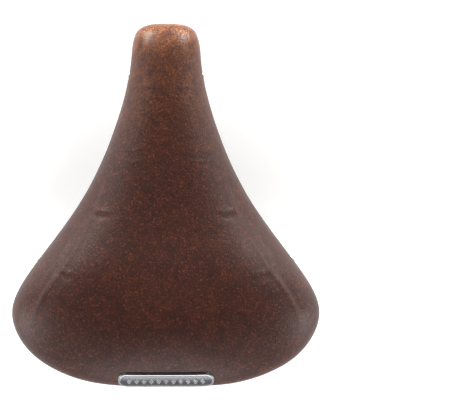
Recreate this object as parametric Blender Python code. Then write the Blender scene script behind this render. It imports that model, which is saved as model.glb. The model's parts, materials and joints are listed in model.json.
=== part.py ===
"""Sprung comfort bicycle saddle, 263 mm long and 222 mm wide.

Lengths are in millimetres and are scaled to metres when a mesh is made. +Y points to the nose,
+X to the rider's right and +Z up. The origin is midway between the two seat rails, in the middle
of the stretch where a seat post clamps them.
"""

import math

import bmesh
import bpy
import numpy as np
from mathutils import Matrix, Vector
from mathutils.bvhtree import BVHTree

MM = 0.001
GAP = 0.3                      # space kept between pieces that touch

# seat, seen from above: (half width, distance from the rear end)
SEAT_LENGTH = 262.6
REAR_Y = -137.0
OUTLINE = [(0, 0), (49, 2.2), (77.8, 10.8), (100.4, 26.5), (111.5, 52), (102.2, 76), (81.6, 104.5),
           (58.5, 139), (42.1, 174), (30.8, 209), (25.8, 236), (23.4, 252.5), (21.2, 257), (14.3, 261.3),
           (0, 262.6)]
LOOP_POINTS = 44
WIDEST_AT = 60.0               # forward of this the outline only narrows
SPINE_REAR = 52.0
SPINE_NOSE = 232.0

# seat, seen from the side: (distance from the rear end, height)
CREST = [(0, 104), (50, 104.5), (80, 99), (110, 91), (160, 81.5), (210, 72.5), (262.6, 60)]
WIDEST = [(0, 87), (20, 73), (54, 56), (95, 42), (140, 35), (200, 31), (262.6, 38)]
LOWER_EDGE = [(0, 81), (20, 67), (54, 47.5), (95, 25.5), (130, 17), (180, 14), (240, 13.5), (262.6, 17)]
TUCK_UNDER = [(0, 3), (54, 5), (95, 3), (140, 2), (180, 2), (225, 2), (240, 3.5), (262.6, 11)]
SQUARENESS = [(0, 2.1), (54, 2.6), (120, 2.4), (180, 2.6), (262.6, 2.8)]
RING_ANGLES = [-90, -35, 0, 17, 34, 50, 64, 76, 85]

# layers of the seat, from the outside in
COVER_THICKNESS = 1.6
FOAM_SIDE = [(0, 5), (120, 5), (190, 3), (262.6, 3)]
FOAM_TOP = [(0, 9), (45, 22), (120, 21), (190, 14), (262.6, 10)]
SHELL_THICKNESS = 2.8
EDGE_RISE = 0.9                # foam and shell stop this far above the cover's lower edge
HOLLOW_DROP = 7.0              # the shell's hollow runs this far below its lower edge, to open it
GEL_FLOOR_DROP = 20.0
GEL_THICKNESS = 7.0
GEL_CENTRE = (47.0, 68.0)      # sideways and from the rear end
GEL_RADII = (29.0, 40.0)
GEL_POINTS = 28
GEL_CUT_Z = (60.0, 130.0)      # the oval cutter spans these heights
TRIM_HEIGHT = [(0, 6.5), (95, 6.5), (150, 3), (262.6, 2.5)]
TRIM_DEPTH = 10.5
TRIM_DEPTH_LOSS = 4.0          # the band is this much shallower along the nose
TRIM_NOSE_START = 150.0
TRIM_PROUD = 0.8
TRIM_GAP = 0.9                 # under the cover's edge, which slopes and twists round the wings

# rails
RAIL_RADIUS = 3.5
RAIL_HALF_SPACING = 22.0
CLAMP_HALF_LENGTH = 28.0
RISER_START_Y = 27.0
HINGE = (0.0, 74.0, 34.0)      # the rails' front bow turns here in the nose bracket
BOW_HALF_WIDTH = 13.0
SEAT_PITCH_RANGE_DEG = (0.0, 6.0)

# springs and the hardware at their feet
SPRING_X = 51.5
SPRING_Y = -71.0
SPRING_WIRE_RADIUS = 2.25
SPRING_RADIUS = 18.75
SPRING_FOOT_RADIUS = 11.5
SPRING_FOOT_Z = 6.1
SPRING_TOP_Z = 53.0
SPRING_FOOT_TURNS = 0.8
SPRING_RISING_TURNS = 3.1
SPRING_HEAD_TURNS = 0.5
BOLT_RADIUS = 4.0
BOLT_HOLE_RADIUS = 4.4
BOLT_TOP_Z = 21.5
NUT_RADIUS = 7.5               # to the corners of the hexagon
NUT_HEIGHT = 6.5
EYE_RADIUS = 8.0
STRAP_Z = (3.8, 5.8)
STRAP_WIDTH = 22.0
STRAP_FLANGE_HALF_LENGTH = 33.0
SEAT_PLATE_Z = (53.3, 55.3)
SEAT_PLATE_RADIUS = 20.0
SEAT_SCREW_OFFSET = 10.0
BOSS_Z = 55.6
BOSS_HALF = (19.0, 18.0)

# front bracket
BRACKET_HALF_WIDTH = 7.0
BRACKET_FLANGE_Z = (38.2, 40.2)
BRACKET_HALF_LENGTH = 15.0
BRACKET_INNER_RADIUS = 4.0
BRACKET_OUTER_RADIUS = 6.0
BRACKET_SCREW_OFFSET = 10.5
NOSE_BLOCK_Z = 40.5
NOSE_BLOCK_HALF = (14.0, 17.0)
RIB_X = (21.0, 24.0)
RIB_Z = 62.0
KEEL_HALF_WIDTH = 1.5
KEEL_Z = 66.0
RIB_FRONT_Y = (20.0, 30.0)     # front ends of the keel and of the side ribs
BLOCK_TOP = 120.0              # blocks reach past the hollow's ceiling

# accessory clip under the rear
CLIP_Y = (-113.0, -93.0)
CLIP_Z = (53.0, 67.5)
CLIP_HALF_WIDTH = (19.0, 14.5)
CLIP_SLOT_HALF_WIDTH = 10.0
CLIP_SLOT_Z = (57.5, 63.0)
CLIP_SLOT_DEPTH = 14.0
CLIP_SCREW_X = 14.5
CLIP_BLOCK_Z = 67.8
CLIP_BORE_RADIUS = 3.9
CLIP_FLOOR = 5.0               # thickness left above the screw heads

SCREW_SHANK_RADIUS = 1.6
SCREW_HEAD_RADIUS = 3.4
SCREW_HEAD_HEIGHT = 2.0
SCREW_LENGTH = 9.0
PILOT_RADIUS = 1.95

# dressing
STUD_RADIUS = 4.6
STUD_DOME = 1.3
STUD_SHANK_RADIUS = 1.5
STUD_BASE = -0.2               # the flat back of the head is let this far into the cover
STUD_SHANK_LENGTH = 4.2
STUD_HOLE_RADIUS = 2.1
STUD_PLACES = {"nose_stud": (224.2, 31.0), "wing_stud": (88.5, 45.0)}
BADGE_HALF_LENGTH = 34.0
BADGE_HALF_HEIGHT = 6.2
BADGE_THICKNESS = 1.3
BADGE_LIFT = 0.5
BADGE_CENTRE = (5.4, 94.8)     # from the rear end, and height
BADGE_TILT_DEG = 45.0

COLOURS = {
    "leather": ((0.085, 0.030, 0.019), 0.45, 0.0),
    "foam": ((0.75, 0.70, 0.55), 0.90, 0.0),
    "gel": ((0.20, 0.35, 0.60), 0.30, 0.0),
    "shell_plastic": ((0.012, 0.012, 0.013), 0.55, 0.0),
    "trim_plastic": ((0.035, 0.034, 0.036), 0.50, 0.0),
    "clip_plastic": ((0.030, 0.030, 0.034), 0.50, 0.0),
    "zinc_steel": ((0.62, 0.66, 0.70), 0.28, 1.0),
    "black_steel": ((0.010, 0.010, 0.011), 0.35, 0.0),
    "bright_metal": ((0.60, 0.59, 0.60), 0.22, 1.0),
}


def smooth_curve(table):
    """Return a function that runs smoothly through (position, value) pairs."""
    place = np.array([row[0] for row in table], float)
    value = np.array([row[1] for row in table], float)
    slope = np.gradient(value, place)

    def at(position):
        position = np.clip(np.asarray(position, float), place[0], place[-1])
        i = np.clip(np.searchsorted(place, position, side="right") - 1, 0, len(place) - 2)
        step = place[i + 1] - place[i]
        t = (position - place[i]) / step
        return ((2 * t**3 - 3 * t**2 + 1) * value[i] + (t**3 - 2 * t**2 + t) * step * slope[i]
                + (3 * t**2 - 2 * t**3) * value[i + 1] + (t**3 - t**2) * step * slope[i + 1])

    return at


crest = smooth_curve(CREST)
widest = smooth_curve(WIDEST)
lower_edge = smooth_curve(LOWER_EDGE)
tuck_under = smooth_curve(TUCK_UNDER)
squareness = smooth_curve(SQUARENESS)
foam_side = smooth_curve(FOAM_SIDE)
foam_top = smooth_curve(FOAM_TOP)
trim_height = smooth_curve(TRIM_HEIGHT)


def closed_spline(points, samples):
    """Spread samples evenly along a smooth closed curve through the points."""
    ctrl = np.array(points, float)
    count = len(ctrl)
    chord = np.linalg.norm(np.roll(ctrl, -1, 0) - ctrl, axis=1)
    system = np.zeros((count, count))
    right = np.zeros((count, 2))
    for i in range(count):
        after = (i + 1) % count
        system[i, i - 1] = chord[i - 1]
        system[i, i] = 2 * (chord[i - 1] + chord[i])
        system[i, after] = chord[i]
        right[i] = 6 * ((ctrl[after] - ctrl[i]) / chord[i] - (ctrl[i] - ctrl[i - 1]) / chord[i - 1])
    bend = np.linalg.solve(system, right)
    fine = []
    for i in range(count):
        after = (i + 1) % count
        for b in np.linspace(0, 1, 60, endpoint=False):
            a = 1 - b
            curvature = ((a**3 - a) * bend[i] + (b**3 - b) * bend[after]) * chord[i]**2 / 6
            fine.append(a * ctrl[i] + b * ctrl[after] + curvature)
    fine = np.array(fine + [fine[0]])
    arc = np.concatenate([[0], np.cumsum(np.linalg.norm(np.diff(fine, axis=0), axis=1))])
    want = np.linspace(0, arc[-1], samples, endpoint=False)
    return np.stack([np.interp(want, arc, fine[:, k]) for k in (0, 1)], axis=1)


def seat_loop():
    """Seat outline as x and distance from the rear end, from the rear middle and round."""
    mirrored = [(-x, s) for x, s in OUTLINE[-2:0:-1]]
    return closed_spline(OUTLINE + mirrored, LOOP_POINTS)


def outward(loop):
    """Outward normal, in plan, at each point of the outline."""
    along = np.roll(loop, -1, 0) - np.roll(loop, 1, 0)
    across = np.stack([along[:, 1], -along[:, 0]], axis=1)
    return across / np.linalg.norm(across, axis=1)[:, None]


def seat_rings(depth, under_foam=False, drop=0.0):
    """Rings of points of the seat's surface, or of one that lies depth inside it.

    With under_foam the foam's own thickness is added to depth. The first ring is the lower edge,
    lowered by drop, and the last one runs beside the spine.
    """
    loop = seat_loop()
    s = loop[:, 1]
    base = loop - outward(loop) * (depth + under_foam * foam_side(s))[:, None]
    spine = np.stack([np.zeros_like(s), SPINE_REAR + s / SEAT_LENGTH * (SPINE_NOSE - SPINE_REAR)], 1)
    rings = []
    for angle in np.radians(RING_ANGLES):
        if angle < 0:
            plan = base - outward(loop) * (tuck_under(s) * (1 - math.cos(angle)))[:, None]
            height = widest(s) + (widest(s) - lower_edge(s) + drop) * math.sin(angle)
        else:
            power = 2 / squareness(s)
            plan = spine + (base - spine) * (math.cos(angle) ** power)[:, None]
            summit = crest(plan[:, 1]) - depth - under_foam * foam_top(plan[:, 1])
            height = widest(s) + (summit - widest(s)) * math.sin(angle) ** power
        rings.append(np.column_stack([plan[:, 0], plan[:, 1] + REAR_Y, height]))
    return rings


class Solid:
    """Vertices and faces of one closed body, in millimetres."""

    def __init__(self):
        self.points = []
        self.faces = []

    def ring(self, points):
        start = len(self.points)
        self.points.extend(tuple(p) for p in points)
        return list(range(start, start + len(points)))

    def bridge(self, a, b):
        """Join two rings with triangles whose diagonals mirror each other left to right."""
        count = len(a)
        for i in range(count):
            j = (i + 1) % count
            if i < count // 2:
                self.faces += [(a[i], a[j], b[j]), (a[i], b[j], b[i])]
            else:
                self.faces += [(a[i], a[j], b[i]), (a[j], b[j], b[i])]

    def cap(self, ring):
        self.faces.append(tuple(ring))

    def close_across(self, ring):
        """Join a ring's right half to its left half, point by point."""
        count = len(ring)
        half = count // 2
        self.faces.append((ring[0], ring[1], ring[-1]))
        for i in range(1, half - 1):
            self.faces += [(ring[i], ring[i + 1], ring[count - i]),
                           (ring[i + 1], ring[count - i - 1], ring[count - i])]
        self.faces.append((ring[half - 1], ring[half], ring[half + 1]))


def material(slot):
    """Principled material of a named finish."""
    made = bpy.data.materials.get(slot)
    if made is None:
        made = bpy.data.materials.new(slot)
        made.use_nodes = True
        colour, roughness, metallic = COLOURS[slot]
        shader = made.node_tree.nodes["Principled BSDF"]
        shader.inputs["Base Color"].default_value = (*colour, 1.0)
        shader.inputs["Roughness"].default_value = roughness
        shader.inputs["Metallic"].default_value = metallic
    return made


def add_object(name, mesh, slot, at=(0, 0, 0), turn=None, parent=None):
    """Link a mesh as a named object; at and turn are in the saddle's frame."""
    obj = bpy.data.objects.new(name, mesh)
    bpy.context.scene.collection.objects.link(obj)
    place = Matrix.Translation(Vector(at) * MM)
    if turn is not None:
        place = place @ turn.to_4x4()
    if parent is not None:
        obj.parent = parent
        place = Matrix.Translation(-parent.location) @ place
    obj.matrix_basis = place
    if slot:
        mesh.materials.append(material(slot))
    else:
        obj.hide_render = True
        obj.display_type = "WIRE"
    return obj


def solid_mesh(name, solid, smooth=True):
    """Blender mesh of a Solid, with its faces pointing out."""
    mesh = bpy.data.meshes.new(name)
    mesh.from_pydata([tuple(np.array(p) * MM) for p in solid.points], [], solid.faces)
    bm = bmesh.new()
    bm.from_mesh(mesh)
    bmesh.ops.recalc_face_normals(bm, faces=bm.faces)
    bmesh.ops.triangulate(bm, faces=bm.faces)
    bm.to_mesh(mesh)
    bm.free()
    if smooth:
        mesh.shade_smooth()
        mesh.set_sharp_from_angle(angle=math.radians(40))
    return mesh


def cut(obj, tool, operation="DIFFERENCE", solver="EXACT"):
    """Add a Boolean modifier."""
    step = obj.modifiers.new(tool.name, "BOOLEAN")
    step.operation = operation
    step.solver = solver
    step.object = tool


def circle(radius, z, sides, centre=(0, 0)):
    turn = [2 * math.pi * i / sides for i in range(sides)]
    return [(centre[0] + radius * math.cos(a), centre[1] + radius * math.sin(a), z) for a in turn]


def turned(profile, sides):
    """Solid turned about Z from (radius, height) pairs; radius 0 closes an end at a point."""
    solid = Solid()
    rings = []
    for radius, z in profile:
        rings.append(solid.ring(circle(radius, z, sides)))
    for a, b in zip(rings, rings[1:]):
        solid.bridge(a, b)
    return solid, rings


def plug(profile, sides=16):
    """Turned solid with a flat disc at each end."""
    solid, rings = turned(profile, sides)
    solid.cap(rings[0])
    solid.cap(rings[-1])
    return solid


def washer(inner, outer, low, high, sides=16):
    """Flat ring."""
    profile = [(inner, low), (outer, low), (outer, high), (inner, high)]
    solid, rings = turned(profile, sides)
    solid.bridge(rings[-1], rings[0])
    return solid


def box(low, high):
    solid = Solid()
    corners = [(low[0], low[1]), (high[0], low[1]), (high[0], high[1]), (low[0], high[1])]
    below = solid.ring([(x, y, low[2]) for x, y in corners])
    above = solid.ring([(x, y, high[2]) for x, y in corners])
    solid.bridge(below, above)
    solid.cap(below)
    solid.cap(above)
    return solid


def prism(outline, low, high, axis="Z"):
    """Outline extruded between two levels along X or Z."""
    solid = Solid()
    rings = []
    for level in (low, high):
        if axis == "Z":
            rings.append(solid.ring([(a, b, level) for a, b in outline]))
        else:
            rings.append(solid.ring([(level, a, b) for a, b in outline]))
    solid.bridge(*rings)
    solid.cap(rings[0])
    solid.cap(rings[1])
    return solid


def layer(outer, inner):
    """Skin between two stacks of rings, open at its lower edge."""
    solid = Solid()
    out = [solid.ring(ring) for ring in outer]
    inn = [solid.ring(ring) for ring in inner]
    for stack in (out, inn):
        for a, b in zip(stack, stack[1:]):
            solid.bridge(a, b)
        solid.close_across(stack[-1])
    solid.bridge(out[0], inn[0])
    return solid


def filled(rings):
    """Solid lump under a stack of rings, closed across its lower edge."""
    solid = Solid()
    stack = [solid.ring(ring) for ring in rings]
    for a, b in zip(stack, stack[1:]):
        solid.bridge(a, b)
    solid.close_across(stack[-1])
    solid.close_across(stack[0])
    return solid


def stud_places():
    """Centre and outward direction of each of the four studs on the seat's flanks."""
    loop = seat_loop()
    normal = outward(loop)
    half = LOOP_POINTS // 2
    right = loop[:half + 1]
    places = {}
    for name, (s, z) in STUD_PLACES.items():
        beyond = right[:, 1] > WIDEST_AT
        x = np.interp(s, right[beyond, 1], right[beyond, 0])
        nx = np.interp(s, right[beyond, 1], normal[:half + 1][beyond, 0])
        ny = np.interp(s, right[beyond, 1], normal[:half + 1][beyond, 1])
        for side, sign in (("left", -1), ("right", 1)):
            place = Vector((sign * x, s + REAR_Y, z))
            places[f"{name}_{side}"] = (place, Vector((sign * nx, ny, 0)).normalized())
    return places


def facing(direction):
    """Rotation that turns +Z to a direction."""
    return direction.to_track_quat("Z", "Y").to_matrix()


def gel_outline(grow):
    """Oval in plan, for the right-hand gel pad."""
    turn = [2 * math.pi * i / GEL_POINTS for i in range(GEL_POINTS)]
    x0, s0 = GEL_CENTRE
    rx, ry = (r + grow for r in GEL_RADII)
    return [(x0 + rx * math.cos(a), s0 + REAR_Y + ry * math.sin(a)) for a in turn]


def mirror_x(outline):
    return [(-x, y) for x, y in outline]


def add_cover_and_padding(pivot):
    """Cover, foam pad and the two gel pads."""
    cover = layer(seat_rings(0), seat_rings(COVER_THICKNESS))
    cover = add_object("cover", solid_mesh("cover", cover), "leather", parent=pivot)
    out = COVER_THICKNESS + GAP
    foam = layer(seat_rings(out, False, -EDGE_RISE), seat_rings(out, True, -EDGE_RISE))
    foam = add_object("foam_pad", solid_mesh("foam_pad", foam), "foam", parent=pivot)
    seat = STUD_RADIUS + GAP
    stud_bore = plug([(STUD_HOLE_RADIUS, -STUD_SHANK_LENGTH - 0.8), (STUD_HOLE_RADIUS, STUD_BASE - GAP),
                      (seat, STUD_BASE - GAP), (seat, 3)], 12)
    holes = []
    for name, (at, normal) in stud_places().items():
        mesh = solid_mesh("stud_hole", stud_bore)
        holes.append(add_object(f"stud_hole_{name}", mesh, None, at, facing(normal), pivot))
    for hole in holes:
        cut(cover, hole)
        cut(foam, hole)
    for side, outline in (("left", mirror_x(gel_outline(0))), ("right", gel_outline(0))):
        wide = gel_outline(GAP) if side == "right" else mirror_x(gel_outline(GAP))
        deep = out + GAP + GEL_THICKNESS
        floor = solid_mesh("floor", filled(seat_rings(deep, False, GEL_FLOOR_DROP)))
        floor = add_object(f"gel_floor_{side}", floor, None, parent=pivot)
        pocket_floor = solid_mesh("floor", filled(seat_rings(deep + GAP, False, GEL_FLOOR_DROP)))
        pocket_floor = add_object(f"pocket_floor_{side}", pocket_floor, None, parent=pivot)
        pocket = add_object(f"gel_pocket_{side}", solid_mesh("pocket", prism(wide, *GEL_CUT_Z)), None,
                            parent=pivot)
        cut(pocket, pocket_floor)
        cut(foam, pocket)
        oval = solid_mesh("oval", prism(outline, *GEL_CUT_Z))
        oval = add_object(f"gel_oval_{side}", oval, None, parent=pivot)
        gel = solid_mesh(f"gel_pad_{side}", filled(seat_rings(out + GAP)))
        gel = add_object(f"gel_pad_{side}", gel, "gel", parent=pivot)
        cut(gel, oval, "INTERSECT")
        cut(gel, floor)


def shell_blocks():
    """Solid blocks inside the base shell: (name, low corner, high corner)."""
    top = BLOCK_TOP
    clip_half = CLIP_HALF_WIDTH[0] + 1
    nose_x, nose_y = NOSE_BLOCK_HALF
    boss_x, boss_y = BOSS_HALF
    keel_front, rib_front = RIB_FRONT_Y
    blocks = [("clip", (-clip_half, CLIP_Y[0] + 4, CLIP_BLOCK_Z), (clip_half, CLIP_Y[1] + 3, top)),
              ("nose", (-nose_x, HINGE[1] - nose_y, NOSE_BLOCK_Z), (nose_x, HINGE[1] + nose_y, top)),
              ("keel", (-KEEL_HALF_WIDTH, CLIP_Y[1], KEEL_Z), (KEEL_HALF_WIDTH, keel_front, top))]
    for side, sign in (("left", -1), ("right", 1)):
        x = sorted((sign * (SPRING_X - boss_x), sign * (SPRING_X + boss_x)))
        blocks.append((f"spring_{side}", (x[0], SPRING_Y - boss_y, BOSS_Z), (x[1], SPRING_Y + boss_y, top)))
        rib = sorted(sign * edge for edge in RIB_X)
        blocks.append((f"rib_{side}", (rib[0], CLIP_Y[0] + 2, RIB_Z), (rib[1], rib_front, top)))
    return blocks


def pilot_holes():
    """Axis foot of every screw that is driven up into the base shell: (x, y, underside)."""
    places = []
    for sign in (-1, 1):
        places.append((sign * CLIP_SCREW_X, sum(CLIP_Y) / 2, CLIP_BLOCK_Z))
        places.append((0, HINGE[1] + sign * BRACKET_SCREW_OFFSET, NOSE_BLOCK_Z))
        for offset in (-SEAT_SCREW_OFFSET, SEAT_SCREW_OFFSET):
            places.append((sign * SPRING_X + offset, SPRING_Y, BOSS_Z))
    return places


def add_base_shell(pivot):
    """Moulded plastic pan: a hollow skin with blocks and ribs left standing inside it."""
    out = COVER_THICKNESS + 2 * GAP
    shell = filled(seat_rings(out, True, -EDGE_RISE))
    shell = add_object("base_shell", solid_mesh("base_shell", shell), "shell_plastic", parent=pivot)
    hollow = filled(seat_rings(out + SHELL_THICKNESS, True, HOLLOW_DROP))
    hollow = add_object("shell_hollow", solid_mesh("shell_hollow", hollow), None, parent=pivot)
    for name, low, high in shell_blocks():
        block = add_object(f"block_{name}", solid_mesh("block", box(low, high), False), None, parent=pivot)
        cut(hollow, block, solver="MANIFOLD")
    cut(shell, hollow, solver="MANIFOLD")
    for i, (x, y, z) in enumerate(pilot_holes()):
        pilot = plug([(PILOT_RADIUS, -1), (PILOT_RADIUS, SCREW_LENGTH)], 10)
        pilot = add_object(f"pilot_{i}", solid_mesh("pilot", pilot), None, (x, y, z), parent=pivot)
        cut(shell, pilot, solver="MANIFOLD")


def add_edge_trim(pivot):
    """Rim band under the cover's lower edge, deeper round the rear than along the nose."""
    loop = seat_loop()
    s = loop[:, 1]
    normal = outward(loop)
    edge = loop - normal * tuck_under(s)[:, None]
    top = lower_edge(s) - TRIM_GAP
    low = top - trim_height(s)
    depth = TRIM_DEPTH - TRIM_DEPTH_LOSS * (s > TRIM_NOSE_START)
    profile = [(TRIM_PROUD, top), (TRIM_PROUD, (top + low) / 2), (TRIM_PROUD - 1.8, low),
               (-depth + 1.0, low), (-depth, top), (-TRIM_DEPTH / 3, top)]
    solid = Solid()
    rings = []
    for shift, z in profile:
        plan = edge + normal * np.broadcast_to(shift, s.shape)[:, None]
        rings.append(solid.ring(np.column_stack([plan[:, 0], plan[:, 1] + REAR_Y, z])))
    for a, b in zip(rings, rings[1:] + rings[:1]):
        solid.bridge(a, b)
    add_object("edge_trim", solid_mesh("edge_trim", solid), "trim_plastic", parent=pivot)


def add_badge(pivot):
    """Plain plate with round ends, bent to the rear of the cover."""
    skin = filled(seat_rings(0))
    triangles = BVHTree.FromPolygons([Vector(p) for p in skin.points], skin.faces)
    tilt = math.radians(BADGE_TILT_DEG)
    normal = Vector((0, -math.sin(tilt), math.cos(tilt)))
    up = Vector((0, math.cos(tilt), math.sin(tilt)))
    centre = Vector((0, BADGE_CENTRE[0] + REAR_Y, BADGE_CENTRE[1]))
    straight = BADGE_HALF_LENGTH - BADGE_HALF_HEIGHT
    across = np.concatenate([-straight - BADGE_HALF_HEIGHT * np.cos(np.radians([8, 35, 62])),
                             np.linspace(-straight, straight, 11),
                             straight + BADGE_HALF_HEIGHT * np.sin(np.radians([28, 55, 82]))])
    solid = Solid()
    columns = []
    for u in across:
        reach = math.sqrt(BADGE_HALF_HEIGHT**2 - max(abs(u) - straight, 0) ** 2)
        levels = []
        for lift in (BADGE_LIFT, BADGE_LIFT + BADGE_THICKNESS):
            for v in np.linspace(-reach, reach, 5):
                start = centre + Vector((u, 0, 0)) + up * v + normal * 30
                hit = triangles.ray_cast(start, -normal)[0]
                levels.append(hit + normal * lift)
        columns.append(solid.ring(levels[:5] + levels[:4:-1]))
    for a, b in zip(columns, columns[1:]):
        solid.bridge(a, b)
    solid.cap(columns[0])
    solid.cap(columns[-1])
    add_object("rear_badge", solid_mesh("rear_badge", solid), "bright_metal", parent=pivot)


def add_studs(pivot):
    """Domed rivets through the cover."""
    base = STUD_BASE
    profile = [(STUD_SHANK_RADIUS, -STUD_SHANK_LENGTH), (STUD_SHANK_RADIUS, base), (STUD_RADIUS, base),
               (STUD_RADIUS * 0.86, base + STUD_DOME * 0.55), (STUD_RADIUS * 0.5, base + STUD_DOME)]
    for name, (at, normal) in stud_places().items():
        mesh = solid_mesh(name, plug(profile, 12))
        add_object(name, mesh, "bright_metal", at, facing(normal), pivot)


def screw():
    """Pan-head screw with its head below Z = 0 and its shank above."""
    radius = SCREW_HEAD_RADIUS
    height = SCREW_HEAD_HEIGHT
    return plug([(radius * 0.75, -height), (radius, -height * 0.6), (radius, 0),
                 (SCREW_SHANK_RADIUS, 0), (SCREW_SHANK_RADIUS, SCREW_LENGTH)], 10)


def add_screw(name, x, y, z, slot, pivot):
    add_object(name, solid_mesh(name, screw()), slot, (x, y, z - GAP), parent=pivot)


def add_accessory_clip(pivot):
    """Socket under the rear for a bag or lamp, with its two screws."""
    wide, narrow = CLIP_HALF_WIDTH
    low, high = CLIP_Z
    solid = Solid()
    rings = []
    for y in CLIP_Y:
        rings.append(solid.ring([(-wide, y, high), (-narrow - 2, y, low + 1.5), (-narrow, y, low),
                                 (narrow, y, low), (narrow + 2, y, low + 1.5), (wide, y, high)]))
    solid.bridge(*rings)
    solid.cap(rings[0])
    solid.cap(rings[1])
    clip = solid_mesh("accessory_clip", solid, False)
    clip = add_object("accessory_clip", clip, "clip_plastic", parent=pivot)
    slot = box((-CLIP_SLOT_HALF_WIDTH, CLIP_Y[0] - 1, CLIP_SLOT_Z[0]),
               (CLIP_SLOT_HALF_WIDTH, CLIP_Y[0] + CLIP_SLOT_DEPTH, CLIP_SLOT_Z[1]))
    cut(clip, add_object("clip_slot", solid_mesh("clip_slot", slot, False), None, parent=pivot))
    seat_z = CLIP_BLOCK_Z - CLIP_FLOOR
    for side, sign in (("left", -1), ("right", 1)):
        x = sign * CLIP_SCREW_X
        y = sum(CLIP_Y) / 2
        bore = plug([(CLIP_BORE_RADIUS, -15), (CLIP_BORE_RADIUS, 0),
                     (PILOT_RADIUS, 0), (PILOT_RADIUS, 8)], 14)
        bore = solid_mesh("clip_bore", bore)
        cut(clip, add_object(f"clip_bore_{side}", bore, None, (x, y, seat_z), parent=pivot))
        add_screw(f"clip_screw_{side}", x, y, seat_z, "zinc_steel", pivot)


def add_nose_bracket(pivot):
    """Steel strap that holds the rails' front bow against the base shell's nose."""
    y0 = HINGE[1]
    z0 = HINGE[2]
    low, high = BRACKET_FLANGE_Z
    reach = BRACKET_HALF_LENGTH
    turns = [math.radians(180 + 22.5 * i) for i in range(9)]
    outer, inner = ([(y0 + radius * math.cos(a), z0 + radius * math.sin(a)) for a in turns]
                    for radius in (BRACKET_OUTER_RADIUS, BRACKET_INNER_RADIUS))
    outline = [(y0 - reach, high), (y0 - reach, low), (y0 - BRACKET_OUTER_RADIUS, low), *outer,
               (y0 + BRACKET_OUTER_RADIUS, low), (y0 + reach, low), (y0 + reach, high),
               (y0 + BRACKET_INNER_RADIUS, high), *inner[::-1], (y0 - BRACKET_INNER_RADIUS, high)]
    strap = prism(outline, -BRACKET_HALF_WIDTH, BRACKET_HALF_WIDTH, "X")
    strap = add_object("nose_bracket", solid_mesh("nose_bracket", strap), "zinc_steel", parent=pivot)
    for side, sign in (("rear", -1), ("front", 1)):
        y = y0 + sign * BRACKET_SCREW_OFFSET
        hole = solid_mesh("hole", plug([(PILOT_RADIUS, -3), (PILOT_RADIUS, 3)], 10))
        cut(strap, add_object(f"bracket_hole_{side}", hole, None, (0, y, low), parent=pivot))
        add_screw(f"nose_bracket_screw_{side}", 0, y, low, "zinc_steel", pivot)


def wire(name, points, radius, slot, sides):
    """Round wire swept along a list of points, with flat ends."""
    points = [Vector(p) for p in points]
    solid = Solid()
    rings = []
    across = None
    for i, p in enumerate(points):
        along = (points[min(i + 1, len(points) - 1)] - points[max(i - 1, 0)]).normalized()
        if across is None:
            across = along.orthogonal().normalized()
        across = (across - along * across.dot(along)).normalized()
        beside = along.cross(across)
        turn = [2 * math.pi * k / sides for k in range(sides)]
        rings.append(solid.ring([p + (across * math.cos(a) + beside * math.sin(a)) * radius for a in turn]))
    for a, b in zip(rings, rings[1:]):
        solid.bridge(a, b)
    solid.cap(rings[0])
    solid.cap(rings[-1])
    return add_object(name, solid_mesh(name, solid), slot)


def rounded_path(corners, steps=4):
    """Straight runs joined by arcs; a corner is (point, bend radius)."""
    points = [np.array(corners[0][0], float)]
    for (before, _), (corner, radius), (after, _) in zip(corners, corners[1:], corners[2:]):
        corner = np.array(corner, float)
        back = np.array(before, float) - corner
        ahead = np.array(after, float) - corner
        back /= np.linalg.norm(back)
        ahead /= np.linalg.norm(ahead)
        half = math.acos(np.clip(back @ ahead, -1, 1)) / 2
        middle = back + ahead
        middle /= np.linalg.norm(middle)
        centre = corner + middle * radius / math.sin(half)
        start = corner + back * radius / math.tan(half) - centre
        end = corner + ahead * radius / math.tan(half) - centre
        sweep = math.pi - 2 * half
        for t in np.linspace(0, 1, steps + 1):
            blend = (math.sin((1 - t) * sweep) * start + math.sin(t * sweep) * end) / math.sin(sweep)
            points.append(centre + blend)
    points.append(np.array(corners[-1][0], float))
    return points


def add_rail_frame():
    """One bent wire: two rails joined by the front bow, with an eye at each rear end."""
    foot = np.array((SPRING_X, SPRING_Y, 0.0))
    turn_in = np.array((RAIL_HALF_SPACING, -CLAMP_HALF_LENGTH - 4, 0.0))
    leave = foot + (turn_in - foot) / np.linalg.norm(turn_in - foot) * (EYE_RADIUS - 1.5)
    half = [(leave, 0), (turn_in, 22), ((RAIL_HALF_SPACING, RISER_START_Y, 0), 13),
            ((BOW_HALF_WIDTH, HINGE[1], HINGE[2]), 6)]
    mirror = [(np.array(p) * (-1, 1, 1), r) for p, r in half[::-1]]
    rails = wire("rail_frame", rounded_path(half + mirror), RAIL_RADIUS, "black_steel", 8)
    for side, sign in (("left", -1), ("right", 1)):
        turn = [math.radians(a) for a in range(0, 360, 45)]
        section = [(EYE_RADIUS + RAIL_RADIUS * math.cos(a), RAIL_RADIUS * math.sin(a)) for a in turn]
        eye, rings = turned(section, 18)
        eye.bridge(rings[-1], rings[0])
        eye = add_object(f"eye_{side}", solid_mesh("eye", eye), None, (sign * SPRING_X, SPRING_Y, 0))
        cut(rails, eye, "UNION")


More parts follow.
